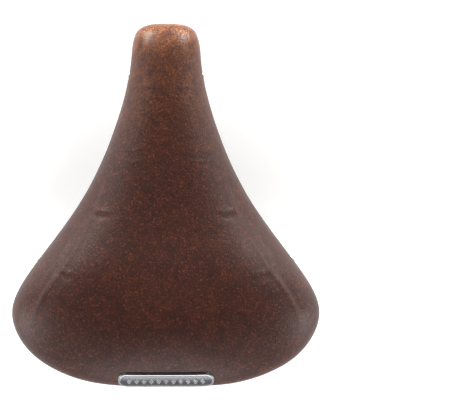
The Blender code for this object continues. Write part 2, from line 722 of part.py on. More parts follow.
def spring_path(hand):
    """Centre line of a spring whose small foot coil opens out into full coils."""
    per_turn = 12
    foot = SPRING_FOOT_Z + SPRING_WIRE_RADIUS
    head = SPRING_TOP_Z - SPRING_WIRE_RADIUS
    total = SPRING_FOOT_TURNS + SPRING_RISING_TURNS + SPRING_HEAD_TURNS
    points = []
    for i in range(int(total * per_turn) + 1):
        turns = i / per_turn
        risen = min(max((turns - SPRING_FOOT_TURNS) / SPRING_RISING_TURNS, 0), 1)
        opened = min(max((turns - SPRING_FOOT_TURNS + 0.05) / 0.6, 0), 1)
        radius = SPRING_FOOT_RADIUS + (SPRING_RADIUS - SPRING_FOOT_RADIUS) * math.sin(opened * math.pi / 2)
        angle = hand * 2 * math.pi * turns
        points.append((radius * math.cos(angle), radius * math.sin(angle), foot + (head - foot) * risen))
    return points


def add_hardware(name, solid, slot, x):
    """Piece turned about a spring's axis."""
    return add_object(name, solid_mesh(name, solid), slot, (x, SPRING_Y, 0))


def add_spring_foot(side, sign):
    """Spring with the bolt, washers and nut that hold its foot to strap and rail eye."""
    x = sign * SPRING_X
    path = [(x + sign * px, SPRING_Y + py, pz) for px, py, pz in spring_path(1)]
    wire(f"spring_{side}", path, SPRING_WIRE_RADIUS, "zinc_steel", 6)
    eye_low = -RAIL_RADIUS - GAP
    add_hardware(f"foot_washer_{side}", washer(BOLT_HOLE_RADIUS, 12, eye_low - 1.5, eye_low), "zinc_steel", x)
    head = eye_low - 1.5 - GAP
    bolt = plug([(4.0, head - 4.2), (7.6, head - 3.0), (9.5, head - 0.8), (9.5, head), (BOLT_RADIUS, head),
                 (BOLT_RADIUS, BOLT_TOP_Z - 0.8), (BOLT_RADIUS - 0.8, BOLT_TOP_Z)])
    add_hardware(f"foot_bolt_{side}", bolt, "zinc_steel", x)
    coil_top = SPRING_FOOT_Z + 2 * SPRING_WIRE_RADIUS + GAP
    coil_washer = washer(BOLT_HOLE_RADIUS, 11, coil_top, coil_top + 1.5)
    add_hardware(f"coil_washer_{side}", coil_washer, "zinc_steel", x)
    nut_low = coil_top + 1.5 + GAP
    nut = plug([(NUT_RADIUS, nut_low), (NUT_RADIUS, nut_low + NUT_HEIGHT)], 6)
    nut = add_hardware(f"foot_nut_{side}", nut, "zinc_steel", x)
    bore = plug([(BOLT_HOLE_RADIUS, nut_low - 1), (BOLT_HOLE_RADIUS, nut_low + NUT_HEIGHT + 1)])
    cut(nut, add_hardware(f"nut_bore_{side}", bore, None, x))


def add_spring_head(side, sign, pivot):
    """Plate that the spring's top coil bears on, with its two screws."""
    low, high = SEAT_PLATE_Z
    x = sign * SPRING_X
    plate = solid_mesh(f"spring_plate_{side}", washer(5, SEAT_PLATE_RADIUS, low, high, 20))
    plate = add_object(f"spring_plate_{side}", plate, "black_steel", (x, SPRING_Y, 0), parent=pivot)
    for place, offset in (("a", -SEAT_SCREW_OFFSET), ("b", SEAT_SCREW_OFFSET)):
        hole = plug([(PILOT_RADIUS, -3), (PILOT_RADIUS, 4)], 10)
        hole = add_object(f"plate_hole_{side}_{place}", solid_mesh("hole", hole), None,
                          (x + offset, SPRING_Y, low), parent=pivot)
        cut(plate, hole, solver="MANIFOLD")
        add_screw(f"spring_plate_screw_{side}_{place}", x + offset, SPRING_Y, low, "zinc_steel", pivot)


def add_cross_strap():
    """Pressed strap that joins the spring feet, with turned-up flanges between them."""
    half = STRAP_WIDTH / 2
    ends = [math.radians(-90 + 18 * i) for i in range(11)]
    right = [(SPRING_X + half * math.cos(a), SPRING_Y + half * math.sin(a)) for a in ends]
    outline = right + [(-x, y) for x, y in right[::-1]]
    strap = solid_mesh("cross_strap", prism(outline, *STRAP_Z))
    strap = add_object("cross_strap", strap, "zinc_steel")
    for side, sign in (("front", 1), ("rear", -1)):
        y = sorted((SPRING_Y + sign * (half - 0.2), SPRING_Y + sign * (half - 2.2)))
        flange = box((-STRAP_FLANGE_HALF_LENGTH, y[0], STRAP_Z[0] + 0.4),
                     (STRAP_FLANGE_HALF_LENGTH, y[1], STRAP_Z[1] + 4.0))
        cut(strap, add_object(f"flange_{side}", solid_mesh("flange", flange, False), None), "UNION")
    for side, sign in (("left", -1), ("right", 1)):
        hole = solid_mesh("hole", plug([(BOLT_HOLE_RADIUS, 0), (BOLT_HOLE_RADIUS, 9)]))
        place = (sign * SPRING_X, SPRING_Y, 0)
        cut(strap, add_object(f"strap_hole_{side}", hole, None, place))


def add_pivot():
    """Empty on the axis that the seat turns about when its springs are pressed."""
    pivot = bpy.data.objects.new("seat_pitch_axis", None)
    bpy.context.scene.collection.objects.link(pivot)
    pivot.location = Vector(HINGE) * MM
    return pivot


def build():
    for old in list(bpy.data.objects):
        bpy.data.objects.remove(old, do_unlink=True)
    pivot = add_pivot()
    add_cover_and_padding(pivot)
    add_base_shell(pivot)
    add_edge_trim(pivot)
    add_badge(pivot)
    add_studs(pivot)
    add_accessory_clip(pivot)
    add_nose_bracket(pivot)
    add_rail_frame()
    add_cross_strap()
    for side, sign in (("left", -1), ("right", 1)):
        add_spring_foot(side, sign)
        add_spring_head(side, sign, pivot)


build()
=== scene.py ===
"""Looks of a sprung comfort bicycle saddle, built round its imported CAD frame.

Lengths are in millimetres and are scaled to metres when a mesh is made. +Y points to the nose,
+X to the rider's right and +Z up. Each CAD node gets a fine piece that stands for it.
"""

import json
import math

import bmesh
import bpy
import numpy as np
from mathutils import Matrix, Vector, noise
from mathutils.bvhtree import BVHTree

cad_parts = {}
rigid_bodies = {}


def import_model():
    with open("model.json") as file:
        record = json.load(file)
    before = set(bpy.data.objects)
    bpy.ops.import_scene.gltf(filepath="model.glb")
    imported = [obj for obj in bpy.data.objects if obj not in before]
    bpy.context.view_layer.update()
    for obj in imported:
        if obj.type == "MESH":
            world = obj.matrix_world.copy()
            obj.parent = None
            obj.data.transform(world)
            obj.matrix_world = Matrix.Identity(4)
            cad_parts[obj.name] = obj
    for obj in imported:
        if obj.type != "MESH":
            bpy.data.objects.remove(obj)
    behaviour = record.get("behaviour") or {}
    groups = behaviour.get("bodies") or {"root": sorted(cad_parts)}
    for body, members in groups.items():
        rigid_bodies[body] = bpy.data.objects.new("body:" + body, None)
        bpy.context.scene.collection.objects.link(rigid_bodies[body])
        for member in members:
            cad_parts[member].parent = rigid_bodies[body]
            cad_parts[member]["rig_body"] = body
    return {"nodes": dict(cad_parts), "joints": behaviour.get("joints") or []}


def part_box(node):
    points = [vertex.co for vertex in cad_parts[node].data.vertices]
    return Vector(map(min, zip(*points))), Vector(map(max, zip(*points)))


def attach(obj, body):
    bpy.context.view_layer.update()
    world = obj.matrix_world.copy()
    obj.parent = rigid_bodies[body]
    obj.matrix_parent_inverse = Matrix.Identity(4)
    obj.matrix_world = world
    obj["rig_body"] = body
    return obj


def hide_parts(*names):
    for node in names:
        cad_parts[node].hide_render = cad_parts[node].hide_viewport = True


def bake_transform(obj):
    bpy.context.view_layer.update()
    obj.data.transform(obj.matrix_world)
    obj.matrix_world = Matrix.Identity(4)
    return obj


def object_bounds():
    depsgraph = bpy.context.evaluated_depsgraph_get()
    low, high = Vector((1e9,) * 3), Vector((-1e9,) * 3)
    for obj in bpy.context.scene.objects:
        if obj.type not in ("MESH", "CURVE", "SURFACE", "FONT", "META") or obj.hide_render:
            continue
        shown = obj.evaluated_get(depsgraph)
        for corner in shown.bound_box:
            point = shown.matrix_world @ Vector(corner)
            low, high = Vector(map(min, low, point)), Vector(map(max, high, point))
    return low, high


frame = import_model()
CAD_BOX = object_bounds()

MM = 0.001
BODY_OF = {node: obj["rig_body"] for node, obj in frame["nodes"].items()}
SIDES = (("left", -1), ("right", 1))
SHARP = 40.0


def span(node):
    """Lowest and highest corner of a CAD node, in millimetres."""
    low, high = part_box(node)
    return np.array(low) / MM, np.array(high) / MM


# seat form, from above (half width, distance from the rear end) and from the side
LOW, HIGH = (np.array(corner) / MM for corner in CAD_BOX)
REAR_Y = LOW[1]
SEAT_LENGTH = HIGH[1] - LOW[1]
OUTLINE = [(0, 0), (49, 2.2), (77.8, 10.8), (100.4, 26.5), (111.5, 52), (102.2, 76), (81.6, 104.5),
           (58.5, 139), (42.1, 174), (30.8, 209), (25.8, 236), (23.4, 252.5), (21.2, 257), (14.3, 261.3),
           (0, 262.6)]
SPINE_REAR = 52.0
SPINE_NOSE = 232.0
CREST = [(0, 104), (50, 104.5), (80, 99), (110, 91), (160, 81.5), (210, 72.5), (262.6, 60)]
WIDEST = [(0, 87), (20, 73), (54, 56), (95, 42), (140, 35), (200, 31), (262.6, 38)]
LOWER_EDGE = [(0, 81), (20, 67), (54, 47.5), (95, 25.5), (130, 17), (180, 14), (240, 13.5), (262.6, 17)]
TUCK_UNDER = [(0, 3), (54, 5), (95, 3), (140, 2), (180, 2), (225, 2), (240, 3.5), (262.6, 11)]
SQUARENESS = [(0, 2.1), (54, 2.6), (120, 2.4), (180, 2.6), (262.6, 2.8)]
FOAM_SIDE = [(0, 5), (120, 5), (190, 3), (262.6, 3)]
FOAM_TOP = [(0, 9), (45, 22), (120, 21), (190, 14), (262.6, 10)]
TRIM_HEIGHT = [(0, 6.5), (95, 6.5), (150, 3), (262.6, 2.5)]

GAP = 0.3
COVER_THICKNESS = 1.6
SHELL_THICKNESS = 2.8
EDGE_RISE = 0.9
GEL_THICKNESS = 7.0
GEL_CENTRE = (47.0, 68.0)
GEL_RADII = (29.0, 40.0)
TRIM_DEPTH = 10.5
TRIM_PROUD = 0.8
TRIM_GAP = 0.9
TRIM_NARROWING = 4.0
TRIM_NARROWS = (140, 20)

BADGE_HALF_LENGTH = 34.0
BADGE_HALF_HEIGHT = 6.2
BADGE_TILT_DEG = 45.0
BADGE_CENTRE = (5.4, 94.8)
CHAIN_PITCH = 5.2
CHAIN_HALF = (1.75, 2.6)
CHAIN_REACH = 27.5
BADGE_FACE = 1.7
BADGE_BACK = 0.4
BADGE_BORDER, FIELD_DEPTH, CHAIN_HEIGHT = 1.5, 0.40, 0.36
BADGE_ROUNDING = (0.8, 0.7)

# the floor's own light, from near to far, and the surroundings' light, from the horizon upwards
FLOOR_GLOW_REACH = (100.0, 1300.0)
FLOOR_GLOW = (0.42, 0.95)
FLOOR_HALF_SIZE, FLOOR_GAP = 30000.0, 0.05
SKY = [(0.14, 1.0), (0.45, 0.05)]

# how finely the seat's layers are divided: points round the outline, angles up the side
COVER_LOOP = 640
LAYER_LOOP = 240
TUCK_ANGLES = np.linspace(-90, 0, 12, endpoint=False)
CROWN_ANGLES = np.concatenate([np.linspace(0, 84, 86), [85, 86, 87, 87.8, 88.5, 89.1, 89.5, 89.8]])
COVER_ANGLES = np.concatenate([TUCK_ANGLES, CROWN_ANGLES])
LAYER_ANGLES = np.concatenate([np.linspace(-90, 0, 6, endpoint=False), np.linspace(0, 84, 29),
                               [86.5, 88.5, 89.6]])

# folds pressed into the cover, right-hand side: (sideways, from the rear end)
FOLD_LINES = [[(41, 150), (49, 126), (60, 106), (73, 84), (86, 66), (97, 44)],
              [(50, 125), (41, 124)],
              [(74, 83), (64, 79)]]
FOLD_RIDGE, RIDGE_WIDTH = 0.42, 1.9
FOLD_VALLEY, VALLEY_OFFSET, VALLEY_WIDTH = 0.45, 3.8, 2.3
FOLD_REACH, FOLD_RUN_OUT, FOLD_END = 12, 14.0, 3
# faint wrinkles across the nose: (from the rear end, sideways, reach sideways)
WRINKLES = [(214, 16, 9), (206, 10, 7), (168, 28, 10), (160, 24, 9)]
WRINKLE_HEIGHT, WRINKLE_WIDTH, WRINKLE_BOW = 0.16, 1.1, 0.02
LUMPS = ((0.16, 24), (0.02, 8))
DIMPLE_DEPTH, DIMPLE_RADIUS = 0.9, 5.6

RAIL_RADIUS = -span("rail_frame")[0][2]
RAIL_HALF_SPACING = 22.0
CLAMP_HALF_LENGTH = 28.0
RISER_START_Y = 27.0
HINGE = tuple(np.array(frame["joints"][0]["pos_m"]) / MM)
BOW_HALF_WIDTH = 13.0
EYE_RADIUS = 8.0
SPRING_X = 51.5
SPRING_Y = -71.0
SCREW_BORE = 1.95
SCREW_HEAD = 2.0
BOLT_RADIUS = 4.0
WASHER_BORE = 4.4

# camera over the seat, in metres
CAMERA_DISTANCE = 1.35
CAMERA_LEVEL = 0.048
CAMERA_Y = -0.0073
CAMERA_ASIDE = 0.0428
FRAME_WIDTH = 0.3291
SENSOR_WIDTH = 36.0


def smooth_curve(table):
    """Return a function that runs smoothly through (position, value) pairs."""
    place = np.array([row[0] for row in table], float)
    value = np.array([row[1] for row in table], float)
    slope = np.gradient(value, place)

    def at(position):
        position = np.clip(np.asarray(position, float), place[0], place[-1])
        i = np.clip(np.searchsorted(place, position, side="right") - 1, 0, len(place) - 2)
        step = place[i + 1] - place[i]
        t = (position - place[i]) / step
        return ((2 * t**3 - 3 * t**2 + 1) * value[i] + (t**3 - 2 * t**2 + t) * step * slope[i]
                + (3 * t**2 - 2 * t**3) * value[i + 1] + (t**3 - t**2) * step * slope[i + 1])

    return at


crest = smooth_curve(CREST)
widest = smooth_curve(WIDEST)
lower_edge = smooth_curve(LOWER_EDGE)
tuck_under = smooth_curve(TUCK_UNDER)
squareness = smooth_curve(SQUARENESS)
foam_side = smooth_curve(FOAM_SIDE)
foam_top = smooth_curve(FOAM_TOP)
trim_height = smooth_curve(TRIM_HEIGHT)


def seat_loop(samples):
    """Points spread evenly along the seat's outline: x and distance from the rear end."""
    ctrl = np.array(OUTLINE + [(-x, s) for x, s in OUTLINE[-2:0:-1]], float)
    count = len(ctrl)
    chord = np.linalg.norm(np.roll(ctrl, -1, 0) - ctrl, axis=1)
    system = np.zeros((count, count))
    right = np.zeros((count, 2))
    for i in range(count):
        after = (i + 1) % count
        system[i, i - 1] = chord[i - 1]
        system[i, i] = 2 * (chord[i - 1] + chord[i])
        system[i, after] = chord[i]
        right[i] = 6 * ((ctrl[after] - ctrl[i]) / chord[i] - (ctrl[i] - ctrl[i - 1]) / chord[i - 1])
    bend = np.linalg.solve(system, right)
    fine = []
    for i in range(count):
        after = (i + 1) % count
        for b in np.linspace(0, 1, 60, endpoint=False):
            a = 1 - b
            curvature = ((a**3 - a) * bend[i] + (b**3 - b) * bend[after]) * chord[i]**2 / 6
            fine.append(a * ctrl[i] + b * ctrl[after] + curvature)
    fine = np.array(fine + [fine[0]])
    arc = np.concatenate([[0], np.cumsum(np.linalg.norm(np.diff(fine, axis=0), axis=1))])
    want = np.linspace(0, arc[-1], samples, endpoint=False)
    return np.stack([np.interp(want, arc, fine[:, k]) for k in (0, 1)], axis=1)


def outward(loop):
    """Outward normal, in plan, at each point of the outline."""
    along = np.roll(loop, -1, 0) - np.roll(loop, 1, 0)
    across = np.stack([along[:, 1], -along[:, 0]], axis=1)
    return across / np.linalg.norm(across, axis=1)[:, None]


def seat_rings(loop, angles, depth=0.0, under_foam=False, drop=0.0):
    """Rings of points of the seat's surface, or of one that lies depth inside it (and inside the foam)."""
    s = loop[:, 1]
    normal = outward(loop)
    base = loop - normal * (depth + under_foam * foam_side(s))[:, None]
    spine = np.stack([np.zeros_like(s), SPINE_REAR + s / SEAT_LENGTH * (SPINE_NOSE - SPINE_REAR)], 1)
    rings = []
    for angle in np.radians(angles):
        if angle < 0:
            plan = base - normal * (tuck_under(s) * (1 - math.cos(angle)))[:, None]
            height = widest(s) + (widest(s) - lower_edge(s) + drop) * math.sin(angle)
        else:
            power = 2 / squareness(s)
            plan = spine + (base - spine) * (math.cos(angle) ** power)[:, None]
            summit = crest(plan[:, 1]) - depth - under_foam * foam_top(plan[:, 1])
            height = widest(s) + (summit - widest(s)) * math.sin(angle) ** power
        rings.append(np.column_stack([plan[:, 0], plan[:, 1] + REAR_Y, height]))
    return np.array(rings)


# ------------------------------------------------------------------ mesh tools

class Solid:
    """Vertices and faces of one closed body, in millimetres."""

    def __init__(self):
        self.points = []
        self.faces = []

    def ring(self, points):
        start = len(self.points)
        self.points.extend(tuple(p) for p in points)
        return list(range(start, start + len(points)))

    def bridge(self, a, b):
        for i in range(len(a)):
            j = (i + 1) % len(a)
            self.faces.append((a[i], a[j], b[j], b[i]))

    def stack(self, rings):
        """Bridge a list of rings in turn and return the index lists."""
        made = [self.ring(ring) for ring in rings]
        for a, b in zip(made, made[1:]):
            self.bridge(a, b)
        return made

    def cap(self, ring):
        self.faces.append(tuple(ring))

    def close_across(self, ring):
        """Join a ring's right half to its left half, point by point."""
        count = len(ring)
        half = count // 2
        self.faces.append((ring[0], ring[1], ring[-1]))
        for i in range(1, half - 1):
            self.faces.append((ring[i], ring[i + 1], ring[count - i - 1], ring[count - i]))
        self.faces.append((ring[half - 1], ring[half], ring[half + 1]))


def capped(rings):
    """Solid bridged from ring to ring, with flat ends."""
    solid = Solid()
    made = solid.stack(rings)
    solid.cap(made[0])
    solid.cap(made[-1])
    return solid


def looped(rings):
    """Solid bridged from ring to ring, the last one joined to the first."""
    solid = Solid()
    made = solid.stack(rings)
    solid.bridge(made[-1], made[0])
    return solid


def mesh_of(name, solid, sharp=SHARP):
    """Blender mesh of a Solid, faces pointing out; edges sharper than that angle stay crisp."""
    mesh = bpy.data.meshes.new(name)
    mesh.from_pydata((np.array(solid.points) * MM).tolist(), [], solid.faces)
    bm = bmesh.new()
    bm.from_mesh(mesh)
    bmesh.ops.recalc_face_normals(bm, faces=bm.faces)
    bm.to_mesh(mesh)
    bm.free()
    mesh.shade_smooth()
    mesh.set_sharp_from_angle(angle=math.radians(sharp))
    return mesh


def place(name, mesh, at=(0, 0, 0), turn=None):
    """Link a mesh as an object, at a place in millimetres."""
    obj = bpy.data.objects.new(name, mesh)
    bpy.context.scene.collection.objects.link(obj)
    spot = Matrix.Translation(Vector(at) * MM)
    obj.matrix_world = spot if turn is None else spot @ turn.to_4x4()
    return obj


def blank(node, solid, sharp=SHARP, at=(0, 0, 0), turn=None):
    """Object that is to stand for a node."""
    return place(node + "_fine", mesh_of(node, solid, sharp), at, turn)


def cut(solid, at=(0, 0, 0), solver="EXACT", operation="DIFFERENCE"):
    """Boolean step for combine()."""
    return operation, place("tool", mesh_of("tool", solid), at), solver


def combine(obj, steps, sharp=SHARP):
    """Apply Boolean steps, each (operation, tool, solver), and remove the tools."""
    for operation, other, solver in steps:
        step = obj.modifiers.new("cut", "BOOLEAN")
        step.operation = operation
        step.solver = solver
        step.object = other
    settled(obj, sharp)
    for _, other, _ in steps:
        spare = other.data
        bpy.data.objects.remove(other, do_unlink=True)
        bpy.data.meshes.remove(spare)
    return obj


def settled(obj, sharp=SHARP):
    """Replace an object's mesh by what its modifiers make of it."""
    bpy.context.view_layer.update()
    graph = bpy.context.evaluated_depsgraph_get()
    mesh = bpy.data.meshes.new_from_object(obj.evaluated_get(graph))
    obj.modifiers.clear()
    obj.data = mesh
    mesh.shade_smooth()
    mesh.set_sharp_from_angle(angle=math.radians(sharp))
    return obj


def rounded(obj, width, segments=2, angle=35.0):
    """Bevel the object's sharp edges."""
    step = obj.modifiers.new("round", "BEVEL")
    step.width = width * MM
    step.segments = segments
    step.limit_method = "ANGLE"
    step.angle_limit = math.radians(angle)
    return settled(obj)


def circle(radius, z, sides, phase=0.0):
    turn = np.arange(sides) * 2 * math.pi / sides + phase
    radius = np.broadcast_to(radius, turn.shape)
    return np.column_stack([radius * np.cos(turn), radius * np.sin(turn), np.full(sides, z)])


def lathe(profile, sides=48, ring=False):
    """Solid turned about Z from (radius, height) pairs; a ring joins its last pair to its first."""
    return (looped if ring else capped)([circle(r, z, sides) for r, z in profile])


def box(low, high):
    corners = [(low[0], low[1]), (high[0], low[1]), (high[0], high[1]), (low[0], high[1])]
    return capped([[(x, y, z) for x, y in corners] for z in (low[2], high[2])])


def rounded_ring(inner, outer, low, high, bevel=0.35):
    """Profile of a flat ring with rounded edges."""
    b = bevel
    return [(inner + b, low), (outer - b, low), (outer - b * 0.3, low + b * 0.3), (outer, low + b),
            (outer, high - b), (outer - b * 0.3, high - b * 0.3), (outer - b, high), (inner + b, high),
            (inner, high - b), (inner, low + b)]


def thread_rings(radius, low, high, pitch, depth, sides=28):
    """Rings of a screw thread between two heights."""
    turn = np.arange(sides) / sides
    rings = []
    for z in np.arange(low, high, pitch / 6):
        wave = np.abs((z / pitch - turn) % 1 - 0.5) * 2
        fade = min(1.0, (high - z) / pitch)
        rings.append(circle(radius - depth * (wave * fade + 1 - fade), z, sides))
    return rings


def sweep(points, radius, sides=20, chamfer=0.25):
    """Round wire along a path, with slightly rounded ends."""
    points = [Vector(p) for p in points]
    frames = []
    across = None
    for i, p in enumerate(points):
        along = (points[min(i + 1, len(points) - 1)] - points[max(i - 1, 0)]).normalized()
        if across is None:
            across = along.orthogonal().normalized()
        across = (across - along * across.dot(along)).normalized()
        frames.append((p, along, across.copy(), along.cross(across)))
    turn = [2 * math.pi * k / sides for k in range(sides)]

    def section(at, across, beside, size):
        return [at + (across * math.cos(a) + beside * math.sin(a)) * size for a in turn]

    first, last = frames[0], frames[-1]
    rings = [section(first[0], first[2], first[3], radius * (1 - chamfer))]
    rings.append(section(first[0] + first[1] * radius * chamfer, first[2], first[3], radius))
    rings += [section(p, a, b, radius) for p, _, a, b in frames[1:-1]]
    rings.append(section(last[0] - last[1] * radius * chamfer, last[2], last[3], radius))
    rings.append(section(last[0], last[2], last[3], radius * (1 - chamfer)))
    return capped(rings)


def rounded_path(corners, steps=14):
    """Straight runs joined by arcs; a corner is (point, bend radius)."""
    points = [np.array(corners[0][0], float)]
    for (before, _), (corner, radius), (after, _) in zip(corners, corners[1:], corners[2:]):
        corner = np.array(corner, float)
        back = np.array(before, float) - corner
        ahead = np.array(after, float) - corner
        back /= np.linalg.norm(back)
        ahead /= np.linalg.norm(ahead)
        half = math.acos(np.clip(back @ ahead, -1, 1)) / 2
        middle = back + ahead
        middle /= np.linalg.norm(middle)
        centre = corner + middle * radius / math.sin(half)
        start = corner + back * radius / math.tan(half) - centre
        end = corner + ahead * radius / math.tan(half) - centre
        arc = math.pi - 2 * half
        for t in np.linspace(0, 1, steps + 1):
            swing = math.sin((1 - t) * arc) * start + math.sin(t * arc) * end
            points.append(centre + swing / math.sin(arc))
    points.append(np.array(corners[-1][0], float))
    return points


def stand_for(obj, node, finish):
    """Dress a fine piece, let it ride on its CAD node's body and show it in the node's place."""
    obj.data.materials.clear()
    obj.data.materials.append(finish)
    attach(obj, BODY_OF[node])
    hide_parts(node)
    return obj


# ------------------------------------------------------------------ finishes

class Finish:
    """Principled material whose textures are measured in millimetres of the object's own space."""

    def __init__(self, name, **settings):
        self.material = bpy.data.materials.new(name)
        self.material.use_nodes = True
        self.tree = self.material.node_tree
        self.shader = self.tree.nodes["Principled BSDF"]
        for key, value in settings.items():
            self.shader.inputs[key.replace("_", " ")].default_value = value
        where = self.add("TexCoord").outputs["Object"]
        self.place = self.add("Mapping", {"Vector": where, "Scale": (1 / MM,) * 3}).outputs["Vector"]

    def add(self, kind, inputs=None, **settings):
        made = self.tree.nodes.new("ShaderNode" + kind)
        for key, value in settings.items():
            setattr(made, key, value)
        for key, value in (inputs or {}).items():
            if isinstance(value, bpy.types.NodeSocket):
                self.tree.links.new(value, made.inputs[key])
            else:
                made.inputs[key].default_value = value
        return made

    def noise(self, size, detail=4.0, roughness=0.6, distortion=0.0, where=None):
        """Noise whose lumps are about size millimetres across, from 0 to 1."""
        inputs = {"Vector": where or self.place, "Scale": 1 / size, "Detail": detail,
                  "Roughness": roughness, "Distortion": distortion}
        return self.add("TexNoise", inputs).outputs["Fac"]

    def cells(self, size, feature="DISTANCE_TO_EDGE", where=None, randomness=1.0):
        inputs = {"Vector": where or self.place, "Scale": 1 / size, "Randomness": randomness}
        return self.add("TexVoronoi", inputs, feature=feature).outputs["Distance"]

    def ramp(self, source, stops, smooth=False):
        """Colours, or grey levels, spread over a value."""
        made = self.add("ValToRGB", {"Fac": source})
        made.color_ramp.interpolation = "EASE" if smooth else "LINEAR"
        while len(made.color_ramp.elements) < len(stops):
            made.color_ramp.elements.new(0.5)
        for element, (position, colour) in zip(made.color_ramp.elements, stops):
            element.position = position
            element.color = (*colour, 1) if isinstance(colour, tuple) else (colour, colour, colour, 1)
        return made.outputs["Color"]

    def span(self, source, low, high, to_low=0.0, to_high=1.0):
        inputs = {"Value": source, "From Min": low, "From Max": high, "To Min": to_low, "To Max": to_high}
        return self.add("MapRange", inputs).outputs["Result"]

    def math(self, operation, a, b=0.0):
        return self.add("Math", {0: a, 1: b}, operation=operation).outputs[0]

    def sum(self, a, share_a, b, share_b):
        """Weighted sum of two values."""
        return self.math("ADD", self.math("MULTIPLY", a, share_a), self.math("MULTIPLY", b, share_b))

    def length(self, a, b):
        """Length of the vector (a, b)."""
        return self.math("SQRT", self.math("ADD", self.math("POWER", a, 2.0), self.math("POWER", b, 2.0)))

    def mix(self, share, a, b, blend="MIX"):
        return self.add("MixRGB", {"Fac": share, "Color1": a, "Color2": b}, blend_type=blend).outputs["Color"]

    def bump(self, height, distance, strength=1.0, under=None):
        """Surface relief, distance in millimetres."""
        inputs = {"Height": height, "Distance": distance * MM, "Strength": strength}
        if under is not None:
            inputs["Normal"] = under
        return self.add("Bump", inputs).outputs["Normal"]

    def axis(self, name):
        return self.add("SeparateXYZ", {"Vector": self.place}).outputs[name]

    def colour(self, source):
        self.tone = source
        self.tree.links.new(source, self.shader.inputs["Base Color"])

    def roughness(self, source):
        self.tree.links.new(source, self.shader.inputs["Roughness"])

    def relief(self, source):
        self.tree.links.new(source, self.shader.inputs["Normal"])


def leather():
    """Antiqued brown cover: pebble grain with dark creases, mottled colour, and tan towards the nose that is
    partly rubbed wear and partly painted light from the front.
    """
    f = Finish("cover_leather", IOR=1.45, Specular_IOR_Level=0.36)
    drift = f.add("TexNoise", {"Vector": f.place, "Scale": 1 / 3.0, "Detail": 2.0}).outputs["Color"]
    shifted = f.mix(0.45, f.place, drift, "ADD")
    furrow = f.span(f.cells(1.9, where=shifted), 0.0, 0.20)
    lines = f.span(f.cells(0.95, where=shifted), 0.0, 0.22)
    broad = f.noise(26.0, 5.0, 0.62, 0.4)
    patch = f.noise(6.0, 6.0, 0.7, 0.6)
    speck = f.noise(1.5, 3.0, 0.6)
    base = f.ramp(broad, [(0.30, (0.038, 0.0092, 0.0058)), (0.50, (0.054, 0.0130, 0.0074)),
                          (0.70, (0.074, 0.0180, 0.0090))], True)
    warm = f.ramp(patch, [(0.38, (0.024, 0.0062, 0.0048)), (0.52, (0.054, 0.0130, 0.0074)),
                          (0.68, (0.120, 0.0300, 0.0120))], True)
    tone = f.mix(0.6, base, warm)
    # tan that grows towards the nose: partly rubbed wear, partly painted light where the nose faces the front
    # lamps
    rubbed_and_lit_tan = f.ramp(patch, [(0.36, (0.17, 0.046, 0.014)), (0.50, (0.40, 0.128, 0.034)),
                            (0.66, (0.64, 0.255, 0.078))], True)
    nose = f.span(f.axis("Y"), SEAT_LENGTH * 0.90 + REAR_Y, SEAT_LENGTH + REAR_Y)
    flush = f.span(f.axis("Y"), SEAT_LENGTH * 0.62 + REAR_Y, SEAT_LENGTH * 0.90 + REAR_Y)
    # share of that tan along the seat: partly wear, partly painted front light on the nose
    wear_and_front_light = f.sum(flush, 0.14, nose, 0.66)
    tone = f.mix(wear_and_front_light, tone, rubbed_and_lit_tan)
    grain = f.math("MULTIPLY", furrow, f.span(lines, 0, 1, 0.60, 1.0))
    dark = f.mix(0.72, tone, (0.013, 0.004, 0.003, 1))
    coloured = f.mix(grain, dark, tone)
    dotted = f.mix(f.span(speck, 0.56, 0.70, 0.0, 0.6), coloured, f.mix(0.5, tone, (0.30, 0.090, 0.035, 1)))
    f.colour(f.mix(f.span(speck, 0.44, 0.30, 0.0, 0.6), dotted, dark))
    gloss = f.span(f.sum(patch, 0.6, grain, -0.25), -0.1, 0.5, 0.53, 0.42)
    f.roughness(f.math("SUBTRACT", gloss, f.math("MULTIPLY", nose, 0.26)))
    low = f.bump(f.noise(4.0, 2.0, 0.45), 0.10, 0.4)
    f.relief(f.bump(grain, 0.12, 0.6, low))
    return f.material


def foam():
    """Open-cell foam."""
    f = Finish("pad_foam", Roughness=0.92, Specular_IOR_Level=0.2, Subsurface_Weight=0.05)
    pores = f.cells(0.9, "F1")
    f.colour(f.ramp(f.math("ADD", pores, f.math("MULTIPLY", f.noise(18.0), 0.6)),
                    [(0.2, (0.42, 0.36, 0.24)), (0.7, (0.62, 0.55, 0.39)), (1.0, (0.70, 0.64, 0.48))]))
    f.relief(f.bump(pores, 0.4, 0.8))
    return f.material


def gel():
    """Soft translucent-looking gel."""
    f = Finish("pad_gel", IOR=1.45, Subsurface_Weight=0.3, Subsurface_Radius=(0.002, 0.004, 0.006))
    cloud = f.noise(9.0, 3.0)
    f.colour(f.ramp(cloud, [(0.35, (0.10, 0.22, 0.42)), (0.65, (0.18, 0.34, 0.56))], True))
    f.roughness(f.span(cloud, 0.3, 0.7, 0.16, 0.30))
    f.relief(f.bump(f.cells(3.2, "SMOOTH_F1"), 0.25, 0.4))
    return f.material


def plastic(name, dark, light, rough, texture, rub=0.0):
    """Moulded plastic with a spark-eroded texture and slight scuffing on its edges."""
    f = Finish(name, IOR=1.49, Specular_IOR_Level=0.3)
    fine = f.noise(texture, 3.0, 0.7)
    cloud = f.noise(17.0, 4.0, 0.6)
    tone = f.ramp(cloud, [(0.32, dark), (0.68, light)], True)
    edge = f.span(f.add("NewGeometry").outputs["Pointiness"], 0.515, 0.56, 0.0, rub)
    scuff = f.math("MULTIPLY", edge, f.span(f.noise(2.4, 5.0, 0.7), 0.45, 0.65))
    f.colour(f.mix(scuff, tone, (0.16, 0.16, 0.165, 1)))
    f.roughness(f.span(f.sum(fine, 0.4, cloud, 0.6), 0.3, 0.7, rough - 0.07, rough + 0.08))
    f.relief(f.bump(fine, 0.07, 0.6))
    return f.material


